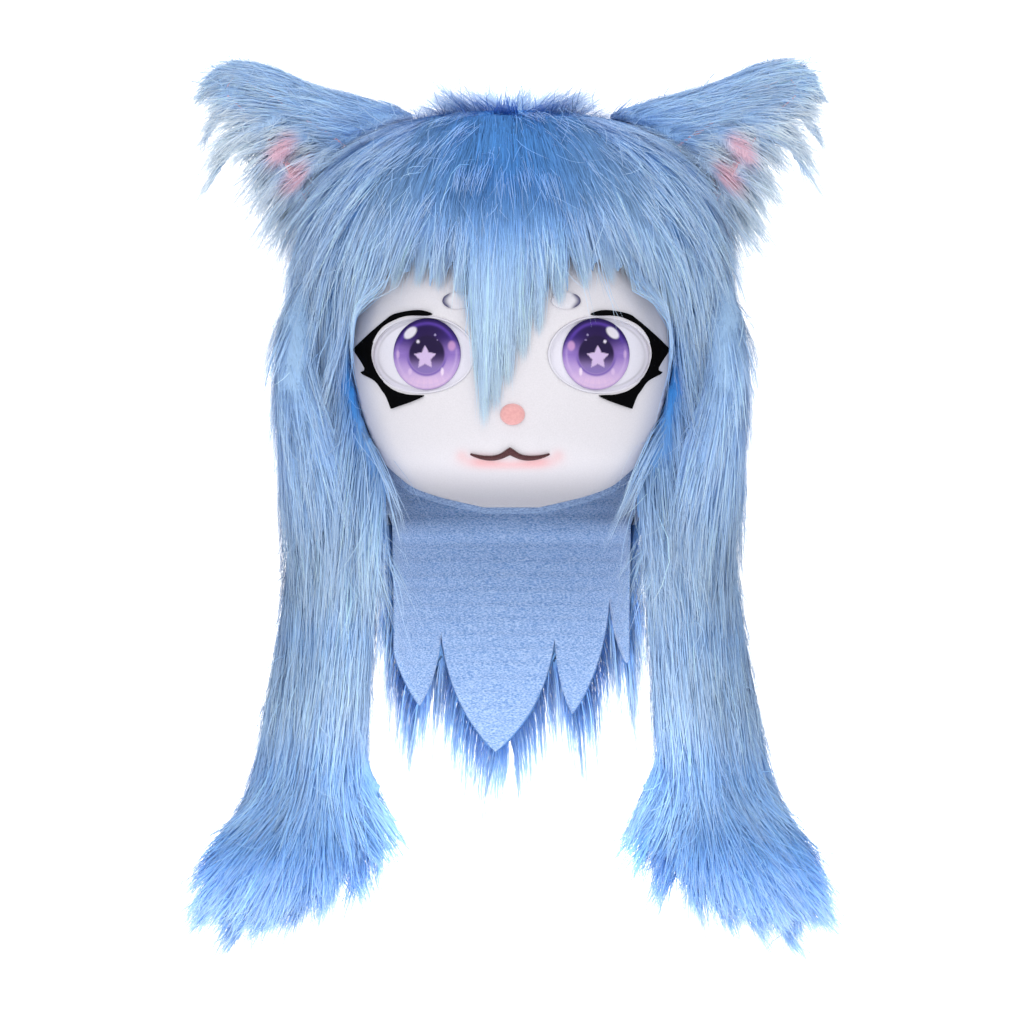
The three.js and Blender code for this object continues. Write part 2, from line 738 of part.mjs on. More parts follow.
function coatLock(angle, z, reach) {
  const out = vec(Math.sin(angle), -Math.cos(angle), 0);
  const at = (height, lift) => coatSurface(angle, height).addScaledVector(out, lift);
  const root = at(z, -coatLocks.bite);
  const bend = at(z - reach / 2, coatLocks.lift / 3);
  const tip = at(Math.max(z - reach, hem - coatLocks.overHem), coatLocks.lift);
  return lock(root, bend, tip, out, coatLocks.width, coatLocks.thickness);
}

function crownTuft(side) {
  const at = (lean, rise) => vec(side * (tuft.x + lean), 0, coat.top + rise);
  const root = at(-tuft.lean, -tuft.root);
  const bend = at(-tuft.lean / 2, 0);
  const tip = at(tuft.lean / 2, tuft.height);
  return lock(root, bend, tip, vec(0, -1, 0), tuft.width, tuft.thickness);
}

function buildHoodFur() {
  const cloth = solid(grow(hoodOutside, fit));
  const cut = prism(faceOutline(fit), throughFront, 0).add(prism(throatOutline(), throughFront, 0));
  const hanging = coatLockRows.flatMap(({ z, reach, count, from, to }) =>
    Array.from({ length: count }, (_, index) => {
      const angle = THREE.MathUtils.degToRad(lerp(from, to, index / (count - 1)));
      return coatLock(angle, hem * z, reach);
    }),
  );
  const coatBody = solid(coatGeometry).subtract(cloth).subtract(cut);
  const pieces = [coatBody, ...hanging, crownTuft(-1), crownTuft(1), buildCapeFur()];
  return join(pieces).subtract(cloth).subtract(capeLayer(-cutPast, cape.wall + fit));
}

// Everything that lies on the coat and the face is cut clear of both

const coatClear = solid(grow(coatGeometry, fit));

function clearOfHead(body) {
  return body.subtract(coatClear).subtract(faceLayer(-fit, hollow.front));
}

// Bangs

function hairFront(x, z, lift) {
  const drop = (coat.top - z) / coat.height;
  const halfWidth = coat.halfWidth * readRow(coatRows, "width", drop);
  const front = -coat.front * readRow(coatRows, "front", drop) * roundedShare(x / halfWidth);
  const onMask = z < -face.top ? faceY(x, z) : 0;
  return vec(x, Math.min(front, onMask) - lift, z);
}

function bangLock({ x, drop, width }) {
  const tipX = face.halfWidth * x;
  const tipZ = -face.top - face.height * drop;
  const rootX = bangs.whorlX + tipX * bangShares.rootX;
  const bendZ = lerp(bangs.whorlZ, tipZ, bangShares.bendDrop);
  const root = hairFront(rootX, bangs.whorlZ, bangs.thickness * bangShares.rootLift);
  const bend = hairFront(tipX * bangShares.bendX, bendZ, bangs.lift);
  const tip = hairFront(tipX, tipZ, bangs.thickness * bangShares.tipLift);
  return lock(root, bend, tip, vec(0, -1, 0), width, bangs.thickness);
}

function buildBangs() {
  const patch = (lift) =>
    bangBackingRows.map(({ drop, halfWidth }) =>
      bangBackingColumns.map((share) => hairFront(share * face.halfWidth * halfWidth, hem * drop, lift)),
    );
  const backing = solid(slab(patch(bangs.backing), patch(-bangs.bite)));
  return clearOfHead(join([backing, ...bangLocks.map(bangLock)]));
}

// Ears, built on the +X side

function earPoint(shareX, shareZ, y) {
  return vec(ear.x + ear.length * shareX, y, ear.z + ear.height * shareZ);
}

function earRing(row, from, to, thickness, y, sides) {
  const up = earPoint(row.upX, row.upZ, y);
  const low = earPoint(row.lowX, row.lowZ, y);
  return Array.from({ length: sides }, (_, side) => {
    const angle = (side / sides) * Math.PI * 2;
    const share = lerp(from, to, 0.5 - 0.5 * Math.cos(angle));
    return up.clone().lerp(low, share).add(vec(0, (Math.sin(angle) * thickness) / 2, 0));
  });
}

function earForm() {
  return loft(earRows.map((row) => earRing(row, 0, 1, ear.thickness * row.thick, ear.y, 10)));
}

// The hollow in the front of the ear, made smaller on every side by an inset
function cupForm(inset) {
  const rows = earRows.slice(0, -1);
  const last = rows.length - 1;
  const [end, before] = [rows[last], rows[last - 1]];
  const shortened = Object.fromEntries(
    Object.keys(end).map((key) => [key, lerp(end[key], before[key], inset / ear.cupEnd)]),
  );
  const rings = [...rows.slice(0, last), shortened].map((row) => {
    const thickness = ear.thickness * row.thick;
    const width = earPoint(row.upX, row.upZ, 0).distanceTo(earPoint(row.lowX, row.lowZ, 0));
    const margin = inset / width;
    const depth = ear.cupDepth * row.thick - inset;
    return earRing(row, ear.cupFrom + margin, ear.cupTo - margin, 2 * depth, ear.y - thickness / 2, 6);
  });
  return solid(loft(rings));
}

function earHair(clearance) {
  return earLocks.map(({ rootX, rootZ, tipX, tipZ, front }) => {
    const y = ear.y - (front * ear.thickness) / 2;
    const root = earPoint(rootX, rootZ, lerp(ear.y, y, earBend.rootY));
    const bend = earPoint(lerp(rootX, tipX, earBend.x), lerp(rootZ, tipZ, earBend.z), y);
    const [width, thickness] = [ear.lockWidth, ear.lockThickness].map((size) => size + 2 * clearance);
    return lock(root, bend, earPoint(tipX, tipZ, y), vec(0, -1, 0), width, thickness);
  });
}

function buildEar() {
  return join([solid(earForm()).subtract(cupForm(0)), ...earHair(0)]).subtract(coatClear);
}

function buildEarLining() {
  const leaf = cupForm(fit).subtract(cupForm(fit + ear.liningWall));
  return leaf.intersect(solid(earForm())).subtract(coatClear).subtract(join(earHair(fit)));
}

// Side hair: a strip down the cheek that becomes the long tail, built on the +X side

function hairRing(x, y, z, halfWidth, halfDepth, sides) {
  return Array.from({ length: sides }, (_, side) => {
    const angle = (side / sides) * Math.PI * 2;
    return vec(x + halfWidth * Math.cos(angle), y + halfDepth * Math.sin(angle), z);
  });
}

function sideRings(rows, part, top, length) {
  return rows.map((row) => {
    const [x, y, z] = [coat.halfWidth * row.x, coat.front * row.y, top - length * row.drop];
    return hairRing(x, y, z, part.halfWidth * row.width, part.halfDepth * row.depth, 8);
  });
}

function fringeLock({ x, drop }, index) {
  const tailY = coat.front * tailRows[tailRows.length - 1].y;
  const side = index % 2 === 0 ? -1 : 1;
  const startDrop = drop - tail.lockLength / tail.length;
  const startX = coat.halfWidth * lerp(readRow(tailRows, "x", startDrop), x, fringeShares.rootX);
  const at = (pointX, share, lift) => {
    return vec(pointX, tailY + side * tail.halfDepth * lift, hem - tail.length * share);
  };
  const root = at(startX, startDrop, fringeShares.rootY);
  const bend = at(coat.halfWidth * x, lerp(startDrop, drop, fringeShares.bendDrop), fringeShares.bendY);
  const tip = at(coat.halfWidth * x, drop, fringeShares.tipY);
  return lock(root, bend, tip, vec(0, -1, 0), tail.lockWidth, tail.lockThickness);
}

function buildSideHair() {
  const cheekRings = sideRings(cheekRows, cheek, hem + cheek.height, cheek.height);
  const tailRings = sideRings(tailRows, tail, hem, tail.length);
  const core = solid(loft([...cheekRings, ...tailRings]));
  return clearOfHead(join([core, ...tailTips.map(fringeLock)]));
}

// Materials

function finish(color, roughness) {
  return new THREE.MeshStandardMaterial({ color, roughness, metalness: 0 });
}

const finishes = {
  fur: finish(0x93bdea, 0.9),
  darkFur: finish(0x4d86cc, 0.9),
  knit: finish(0x86aedb, 0.95),
  white: finish(0xf4f2f7, 0.6),
  pink: finish(0xe3a3b8, 0.9),
  nose: finish(0xfcb4ae, 0.6),
  black: finish(0x08080a, 0.8),
  iris: finish(0x8a6cc0, 0.4),
  brow: finish(0x9aa0c4, 0.8),
  mouth: finish(0x4a2a2e, 0.7),
};

// Assembly

const object = new THREE.Group();

function addPair(name, body, material) {
  object.add(meshOf(`${name}_right`, body, material));
  object.add(meshOf(`${name}_left`, mirrored(body), material));
}

object.add(meshOf("face_mask", buildFaceMask(), finishes.white));
addPair("eye_white", buildEyeWhite(), finishes.white);
addPair("iris", buildIris(), finishes.iris);
addPair("lash", buildLash(), finishes.black);
addPair("brow", buildBrow(), finishes.brow);
object.add(meshOf("nose", buildNose(), finishes.nose));
object.add(meshOf("mouth_line", buildMouthLine(), finishes.mouth));
object.add(meshOf("hood_cloth", buildHoodCloth(), finishes.knit));
object.add(meshOf("nape_cape", buildNapeCape(), finishes.knit));
object.add(meshOf("hood_fur", buildHoodFur(), finishes.fur));
object.add(meshOf("bangs", buildBangs(), finishes.darkFur));
addPair("ear", buildEar(), finishes.fur);
addPair("ear_lining", buildEarLining(), finishes.pink);
addPair("side_hair", buildSideHair(), finishes.fur);

export default object;
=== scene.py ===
"""Looks of a cat-eared fur head costume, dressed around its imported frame. Metres, +Z up, face along -Y."""

import logging
import math
from collections.abc import Callable
from dataclasses import dataclass, field
from enum import Enum

import bpy
import numpy as np
from bpy.types import Material, Mesh, NodeSocket, Object, ShaderNode
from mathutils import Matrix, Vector
from mathutils.bvhtree import BVHTree
from mathutils.geometry import delaunay_2d_cdt


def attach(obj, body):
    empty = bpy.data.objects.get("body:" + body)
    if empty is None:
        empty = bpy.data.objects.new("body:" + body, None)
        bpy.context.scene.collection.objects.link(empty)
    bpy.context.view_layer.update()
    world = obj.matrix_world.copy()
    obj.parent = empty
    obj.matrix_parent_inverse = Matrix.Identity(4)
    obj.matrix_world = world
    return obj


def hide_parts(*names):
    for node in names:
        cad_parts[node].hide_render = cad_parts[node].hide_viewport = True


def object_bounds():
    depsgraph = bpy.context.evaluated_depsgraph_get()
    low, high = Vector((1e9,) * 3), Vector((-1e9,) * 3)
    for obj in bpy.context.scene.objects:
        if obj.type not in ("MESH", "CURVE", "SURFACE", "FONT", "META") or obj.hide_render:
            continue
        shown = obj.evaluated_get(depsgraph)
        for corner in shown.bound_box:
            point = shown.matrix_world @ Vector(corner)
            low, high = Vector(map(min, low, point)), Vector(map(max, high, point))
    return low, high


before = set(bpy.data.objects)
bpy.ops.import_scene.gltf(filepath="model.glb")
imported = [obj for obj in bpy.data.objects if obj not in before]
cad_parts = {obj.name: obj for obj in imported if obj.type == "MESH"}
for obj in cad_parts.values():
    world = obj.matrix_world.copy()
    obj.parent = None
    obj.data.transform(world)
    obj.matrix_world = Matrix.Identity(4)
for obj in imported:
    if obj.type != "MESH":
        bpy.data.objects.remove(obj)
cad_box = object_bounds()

log = logging.getLogger("fur_head")
MM = 0.001
TURN = 2 * math.pi

# How far a strand may reach out of the head's box: a share of each side, and an edge in metres
TRIM_SHARE = 0.02
TRIM_EDGE = 0.008

Array = np.ndarray
Colour = tuple[float, float, float]
Triple = tuple[float, float, float]
Pair = tuple[float, float]
PlaceRule = Callable[[Array, Array], Array]
TintRule = Callable[[Array, Array, Array], Array]
LengthRule = Callable[[Array], Array]


def srgb(red: float, green: float, blue: float) -> Colour:
    """Turns a display colour into linear light.

    Args:
        red: Red from 0 to 255.
        green: Green from 0 to 255.
        blue: Blue from 0 to 255.

    Returns:
        The three linear values.
    """
    return tuple(
        value / 255 / 12.92 if value <= 10 else ((value / 255 + 0.055) / 1.055) ** 2.4
        for value in (red, green, blue)
    )


class Side(Enum):
    """The two sides of the head, by the sign of X."""

    LEFT = -1
    RIGHT = 1

    @property
    def label(self) -> str:
        """The side's name as it stands in the names of pieces."""
        return self.name.lower()


def ease(low: float, high: float, value: Array) -> Array:
    """Rises with soft ends from 0 where a value is at the low mark to 1 at the high one."""
    share = np.clip((value - low) / (high - low), 0, 1)
    return share * share * (3 - 2 * share)


def blend(base: Array, colour: Colour, share: Array) -> Array:
    """Mixes one colour over others, by its share at each place."""
    return base + share[..., None] * (np.array(colour) - base)


def unit(vectors: Array) -> Array:
    """Scales each vector in the last axis to length one."""
    return vectors / np.maximum(np.linalg.norm(vectors, axis=-1, keepdims=True), 1e-9)


def spline(points: Array, steps: int, closed: bool) -> Array:
    """Runs a smooth curve through points.

    Args:
        points: The points, one in each row.
        steps: New points for each stretch.
        closed: Whether the curve returns to its start.

    Returns:
        The points of the curve.
    """
    count = len(points)
    spans = count if closed else count - 1
    rows = []
    for index in range(spans):
        ids = [index - 1, index, index + 1, index + 2]
        ids = [i % count for i in ids] if closed else [min(max(i, 0), count - 1) for i in ids]
        p0, p1, p2, p3 = (points[i] for i in ids)
        for t in (step / steps for step in range(steps)):
            bend = (2 * p0 - 5 * p1 + 4 * p2 - p3) * t**2
            twist = (3 * p1 - p0 - 3 * p2 + p3) * t**3
            rows.append(0.5 * (2 * p1 + (p2 - p0) * t + bend + twist))
    if not closed:
        rows.append(points[-1])
    return np.array(rows)


# Finishes


def new_material(name: str) -> tuple[Material, ShaderNode]:
    """Makes an empty node material.

    Args:
        name: The material's name.

    Returns:
        The material and its shader node.
    """
    material = bpy.data.materials.new(name)
    material.use_nodes = True
    shader = material.node_tree.nodes["Principled BSDF"]
    return material, shader


def add_bump(material: Material, shader: ShaderNode, height: NodeSocket, depth: float) -> None:
    """Joins a height to the shader's normal.

    Args:
        material: The material that gets the bump.
        shader: Its shader node.
        height: The socket that gives the height.
        depth: The depth of the relief in metres.
    """
    bump = material.node_tree.nodes.new("ShaderNodeBump")
    bump.inputs["Strength"].default_value = 1.0
    bump.inputs["Distance"].default_value = depth
    material.node_tree.links.new(height, bump.inputs["Height"])
    material.node_tree.links.new(bump.outputs["Normal"], shader.inputs["Normal"])


def add_noise(material: Material, scale: Triple, detail: float) -> ShaderNode:
    """Adds a noise in the object's own space.

    Args:
        material: The material that gets it.
        scale: Waves per metre along X, Y and Z.
        detail: Octaves of detail.

    Returns:
        The noise node.
    """
    nodes, links = material.node_tree.nodes, material.node_tree.links
    place = nodes.new("ShaderNodeTexCoord")
    mapping = nodes.new("ShaderNodeMapping")
    mapping.inputs["Scale"].default_value = scale
    noise = nodes.new("ShaderNodeTexNoise")
    noise.inputs["Scale"].default_value = 1.0
    noise.inputs["Detail"].default_value = detail
    links.new(place.outputs["Object"], mapping.inputs["Vector"])
    links.new(mapping.outputs["Vector"], noise.inputs["Vector"])
    return noise


def mix_colours(
    material: Material, share: NodeSocket, low: Colour, high: Colour, span: Pair = (0.3, 0.7)
) -> ShaderNode:
    """Adds a ramp between two colours.

    Args:
        material: The material that gets it.
        share: The socket that drives the ramp.
        low: The colour at the low end.
        high: The colour at the high end.
        span: Where on the driving value the two ends stand.

    Returns:
        The ramp node.
    """
    ramp = material.node_tree.nodes.new("ShaderNodeValToRGB")
    ramp.color_ramp.elements[0].position, ramp.color_ramp.elements[1].position = span
    ramp.color_ramp.elements[0].color = (*low, 1)
    ramp.color_ramp.elements[1].color = (*high, 1)
    material.node_tree.links.new(share, ramp.inputs["Fac"])
    return ramp


def set_surface(shader: ShaderNode, roughness: float, sheen: float, specular: float) -> None:
    """Sets how a finish takes the light: how matt it is, its nap's glow and its plain reflection."""
    for name, value in (("Roughness", roughness), ("Sheen Weight", sheen), ("Specular IOR Level", specular)):
        shader.inputs[name].default_value = value


# The name of the colours painted on a mesh's points
PAINT = "paint"


@dataclass(frozen=True)
class PaintedFinish:
    """A finish whose colour is painted on the piece's points, with a fine nap of its own."""

    name: str
    roughness: float
    sheen: float
    nap: Triple
    nap_depth: float
    specular: float = 0.3
    nap_shade: Colour = (0.93, 0.93, 0.93)

    def build(self) -> Material:
        """Makes the material.

        Returns:
            The material.
        """
        material, shader = new_material(self.name)
        nodes, links = material.node_tree.nodes, material.node_tree.links
        painted = nodes.new("ShaderNodeAttribute")
        painted.attribute_name = PAINT
        noise = add_noise(material, self.nap, 3)
        grey = mix_colours(material, noise.outputs["Fac"], self.nap_shade, (1.0, 1.0, 1.0))
        product = nodes.new("ShaderNodeMixRGB")
        product.blend_type = "MULTIPLY"
        product.inputs["Fac"].default_value = 1.0
        links.new(painted.outputs["Color"], product.inputs["Color1"])
        links.new(grey.outputs["Color"], product.inputs["Color2"])
        links.new(product.outputs["Color"], shader.inputs["Base Color"])
        set_surface(shader, self.roughness, self.sheen, self.specular)
        add_bump(material, shader, noise.outputs["Fac"], self.nap_depth)
        return material


@dataclass(frozen=True)
class NappedFinish:
    """Felt, plush, soft rubber or paper: two close colours over a fine nap."""

    name: str
    low: Colour
    high: Colour
    roughness: float
    nap: Triple
    nap_depth: float
    sheen: float = 0.2
    specular: float = 0.3
    detail: float = 4

    def build(self) -> Material:
        """Makes the material.

        Returns:
            The material.
        """
        material, shader = new_material(self.name)
        noise = add_noise(material, self.nap, self.detail)
        ramp = mix_colours(material, noise.outputs["Fac"], self.low, self.high)
        material.node_tree.links.new(ramp.outputs["Color"], shader.inputs["Base Color"])
        set_surface(shader, self.roughness, self.sheen, self.specular)
        if self.nap_depth:
            add_bump(material, shader, noise.outputs["Fac"], self.nap_depth)
        return material


@dataclass(frozen=True)
class KnitFinish:
    """Heathered fine knit: short level flecks over rows of loops."""

    name: str
    dark: Colour = srgb(110, 148, 202)
    pale: Colour = srgb(184, 206, 238)
    span: Pair = (0.34, 0.66)
    fleck: Triple = (480.0, 480.0, 1100.0)
    rows_per_metre: float = 520.0
    row_waver: float = 3.0
    row_detail: float = 2.0
    row_detail_scale: float = 30.0
    loop_depth: float = 0.0003
    roughness: float = 0.95
    sheen: float = 0.25
    specular: float = 0.15

    def build(self) -> Material:
        """Makes the material.

        Returns:
            The material.
        """
        material, shader = new_material(self.name)
        nodes, links = material.node_tree.nodes, material.node_tree.links
        flecks = add_noise(material, self.fleck, 4)
        ramp = mix_colours(material, flecks.outputs["Fac"], self.dark, self.pale, self.span)
        links.new(ramp.outputs["Color"], shader.inputs["Base Color"])
        place = nodes.new("ShaderNodeTexCoord")
        rows = nodes.new("ShaderNodeTexWave")
        rows.bands_direction = "Z"
        rows.inputs["Scale"].default_value = self.rows_per_metre / 20
        rows.inputs["Distortion"].default_value = self.row_waver
        rows.inputs["Detail"].default_value = self.row_detail
        rows.inputs["Detail Scale"].default_value = self.row_detail_scale
        links.new(place.outputs["Object"], rows.inputs["Vector"])
        total = nodes.new("ShaderNodeMath")
        links.new(rows.outputs["Fac"], total.inputs[0])
        links.new(flecks.outputs["Fac"], total.inputs[1])
        set_surface(shader, self.roughness, self.sheen, self.specular)
        add_bump(material, shader, total.outputs["Value"], self.loop_depth)
        return material


FINISHES = {
    "fur": PaintedFinish("fur_pile", 0.6, 0.15, nap=(900.0,) * 3, nap_depth=0.0001, specular=0.25),
    "undercoat": PaintedFinish(
        "fur_undercoat", 0.9, 0.1, nap=(700.0, 700.0, 90.0), nap_depth=0.003, specular=0.1
    ),
    "face": PaintedFinish("face_cloth", 0.75, 0.15, nap=(900.0,) * 3, nap_depth=0.00012, specular=0.2),
    "eye": PaintedFinish("eye_mesh", 0.6, 0.0, nap=(1600.0,) * 3, nap_depth=0.0001, specular=0.25),
    "iris": PaintedFinish("iris_print", 0.5, 0.0, nap=(1500.0,) * 3, nap_depth=0.00006, specular=0.15),
    "brow": PaintedFinish("brow_felt", 0.85, 0.2, nap=(900.0,) * 3, nap_depth=0.0002),
    "lash": NappedFinish(
        "lash_felt", (0.001, 0.001, 0.001), (0.004, 0.004, 0.005), 1.0,
        nap=(1500.0,) * 3, nap_depth=0.0002, sheen=0.0, specular=0.02,
    ),
    "nose": NappedFinish(
        "nose_skin", srgb(220, 158, 158), srgb(232, 174, 172), 0.55, nap=(500.0,) * 3, nap_depth=0.0001
    ),
    "mouth": NappedFinish(
        "mouth_thread", srgb(60, 28, 32), srgb(92, 50, 54), 0.8, nap=(1200.0,) * 3, nap_depth=0.0002
    ),
    "ear_plush": NappedFinish(
        "ear_plush", srgb(232, 170, 190), srgb(250, 204, 214), 0.95,
        nap=(700.0,) * 3, nap_depth=0.0012, sheen=0.4,
    ),
    "knit": KnitFinish("knit_backing"),
    # A darker copy of the knit: painted shade for the hood's cloth, whose rim shows under the chin
    "knit_shade": KnitFinish("knit_shade", dark=srgb(72, 98, 138), pale=srgb(124, 146, 182)),
    "paper": NappedFinish(
        "studio_paper", (0.94, 0.94, 0.95), (0.95, 0.95, 0.96), 0.9,
        nap=(6.0,) * 3, nap_depth=0.0, sheen=0.0, specular=0.1, detail=2,
    ),
}


# Meshes


def assign(piece: Object, finish: str) -> None:
    """Gives a piece one finish in place of any that it has, and builds the finish at its first use."""
    piece.data.materials.clear()
    piece.data.materials.append(bpy.data.materials.get(FINISHES[finish].name) or FINISHES[finish].build())


def add_piece(name: str, mesh: Mesh, finish: str) -> Object:
    """Puts a mesh in the scene as a piece of the head.

    Args:
        name: The piece's name.
        mesh: Its mesh.
        finish: Its finish's name.

    Returns:
        The new object.
    """
    mesh.name = name
    piece = add_plain(name, mesh)
    assign(piece, finish)
    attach(piece, "root")
    mesh.calc_loop_triangles()
    log.info("piece %s: %d triangles", name, len(mesh.loop_triangles))
    return piece


def add_plain(name: str, mesh: Mesh) -> Object:
    """Puts a mesh in the scene as a bare object.

    Args:
        name: The object's name.
        mesh: Its mesh.

    Returns:
        The new object.
    """
    plain = bpy.data.objects.new(name, mesh)
    bpy.context.scene.collection.objects.link(plain)
    return plain


def mesh_from(points: Array, faces: list) -> Mesh:
    """Makes a smooth-shaded mesh.

    Args:
        points: Its points in metres.
        faces: The faces, as tuples of point numbers.

    Returns:
        The mesh.
    """
    mesh = bpy.data.meshes.new("mesh")
    mesh.from_pydata(points.tolist(), [], faces)
    mesh.validate()
    mesh.shade_smooth()
    return mesh


def paint(mesh: Mesh, colours: Array) -> None:
    """Paints linear colours on a mesh's points.

    Args:
        mesh: The mesh.
        colours: One row of three values for each point.
    """
    layer = mesh.color_attributes.new(PAINT, "FLOAT_COLOR", "POINT")
    opaque = np.ones((len(mesh.vertices), 4), np.float32)
    opaque[:, :3] = colours
    layer.data.foreach_set("color", opaque.ravel())


def points_of(mesh: Mesh) -> Array:
    """Reads a mesh's points as an array.

    Args:
        mesh: The mesh.

    Returns:
        One row of X, Y and Z for each point.
    """
    flat = np.empty(len(mesh.vertices) * 3, np.float64)
    mesh.vertices.foreach_get("co", flat)
    return flat.reshape(-1, 3)


def triangles_of(mesh: Mesh) -> Array:
    """Reads the point numbers of a mesh's triangles as an array.

    Args:
        mesh: The mesh.

    Returns:
        One row of three numbers for each triangle.
    """
    mesh.calc_loop_triangles()
    corners = np.empty(len(mesh.loop_triangles) * 3, np.int32)
    mesh.loop_triangles.foreach_get("vertices", corners)
    return corners.reshape(-1, 3)


def move_points(mesh: Mesh, points: Array) -> None:
    """Puts a mesh's points at new places."""
    mesh.vertices.foreach_set("co", points.astype(np.float32).ravel())


def ring_faces(rows: int, count: int) -> list[tuple[int, ...]]:
    """Joins rings of points, one behind the other, round a single first point.

    Args:
        rows: How many rings there are.
        count: How many points each ring has.

    Returns:
        The faces, with the first point as number 0 and the rings after it.
    """
    around = [(i, (i + 1) % count) for i in range(count)]
    faces = [(0, 1 + here, 1 + there) for here, there in around]
    for row in range(rows - 1):
        low, high = 1 + row * count, 1 + (row + 1) * count
        faces += [(low + here, high + here, high + there, low + there) for here, there in around]
    return faces


def apply_modifiers(piece: Object) -> None:
    """Replaces a piece's mesh by what its modifiers make of it.

    Args:
        piece: The piece, whose mesh is changed.
    """
    graph = bpy.context.evaluated_depsgraph_get()
    finished = bpy.data.meshes.new_from_object(piece.evaluated_get(graph))
    old = piece.data
    piece.modifiers.clear()
    piece.data = finished
    bpy.data.meshes.remove(old)


def thicken(points: Array, faces: list, thickness: float) -> tuple[Array, list]:
    """Gives a sheet its thickness, away from the viewer along its normals.

    Args:
        points: The sheet's points.
        faces: Its triangles, all turned the same way.
        thickness: The wall in metres.

    Returns:
        The points and faces of the closed wall.
    """
    triangles = np.array(faces)
    corner = points[triangles]
    facing = np.cross(corner[:, 1] - corner[:, 0], corner[:, 2] - corner[:, 0])
    normals = np.zeros_like(points)
    for number in range(3):
        np.add.at(normals, triangles[:, number], facing)
    inner = points - unit(normals) * thickness
    count = len(points)
    edges = np.concatenate([triangles[:, [0, 1]], triangles[:, [1, 2]], triangles[:, [2, 0]]])
    keys = {tuple(edge) for edge in edges.tolist()}
    rim = [(b, a, a + count, b + count) for a, b in keys if (b, a) not in keys]
    walls = [tuple(face) for face in triangles.tolist()]
    walls += [tuple(face) for face in (triangles[:, ::-1] + count).tolist()]
    return np.concatenate([points, inner]), walls + rim


# The distance between rows, and the least from an edge, as shares of a filling's spacing
ROW_SHARE = 0.87
EDGE_SHARE = 0.45


def fill_outline(outline: Array, holes: list[Array], spacing: float) -> tuple[Array, list]:
    """Fills a flat outline with even triangles.

    Args:
        outline: The closed outline in the plane.
        holes: Closed outlines that stay open.
        spacing: The distance between points inside it.

    Returns:
        The flat points and the triangles.
    """
    loops = [outline, *holes]
    low, high = outline.min(0), outline.max(0)
    columns = np.arange(low[0], high[0], spacing)
    rows = np.arange(low[1], high[1], spacing * ROW_SHARE)
    grid = np.array([(x + (spacing / 2 if i % 2 else 0), z) for i, z in enumerate(rows) for x in columns])
    keep = inside(grid, outline) & (gap_to(grid, loops) > spacing * EDGE_SHARE)
    for hole in holes:
        keep &= ~inside(grid, hole)
    points = [Vector(p) for loop in loops for p in loop] + [Vector(p) for p in grid[keep]]
    edges = []
    start = 0
    for loop in loops:
        edges += [(start + i, start + (i + 1) % len(loop)) for i in range(len(loop))]
        start += len(loop)
    made = delaunay_2d_cdt(points, edges, [], 0, 1e-9)
    flat = np.array([tuple(p) for p in made[0]])
    faces = [tuple(face) for face in made[2]]
    middle = np.array([flat[list(face)].mean(0) for face in faces])
    wanted = inside(middle, outline)
    for hole in holes:
        wanted &= ~inside(middle, hole)
    return flat, [face for face, use in zip(faces, wanted) if use]


def inside(points: Array, outline: Array) -> Array:
    """Says which flat points lie inside a closed outline.

    Args:
        points: The flat points.
        outline: The outline's corners.

    Returns:
        True for those inside.
    """
    x, z = points[:, 0], points[:, 1]
    result = np.zeros(len(points), bool)
    for (x0, z0), (x1, z1) in zip(outline, np.roll(outline, -1, 0)):
        crosses = (z0 > z) != (z1 > z)
        if z0 != z1:
            result ^= crosses & (x < (x1 - x0) * (z - z0) / (z1 - z0) + x0)
    return result


def gap_to(points: Array, loops: list[Array]) -> Array:
    """Gives each flat point's distance to the nearest corner of some outlines.

    Args:
        points: The flat points.
        loops: The outlines.

    Returns:
        The distances.
    """
    corners = np.concatenate(loops)
    best = np.full(len(points), np.inf)
    for start in range(0, len(points), 2000):
        part = points[start : start + 2000]
        away = np.linalg.norm(part[:, None] - corners[None], axis=2)
        best[start : start + 2000] = away.min(1)
    return best


def ellipse(x: float, z: float, half_width: float, half_height: float, count: int) -> Array:
    """Gives the corners of an ellipse in the plane of X and Z."""
    angle = np.linspace(0, TURN, count, endpoint=False)
    return np.stack([x + half_width * np.cos(angle), z + half_height * np.sin(angle)], 1)


# Forms of the head


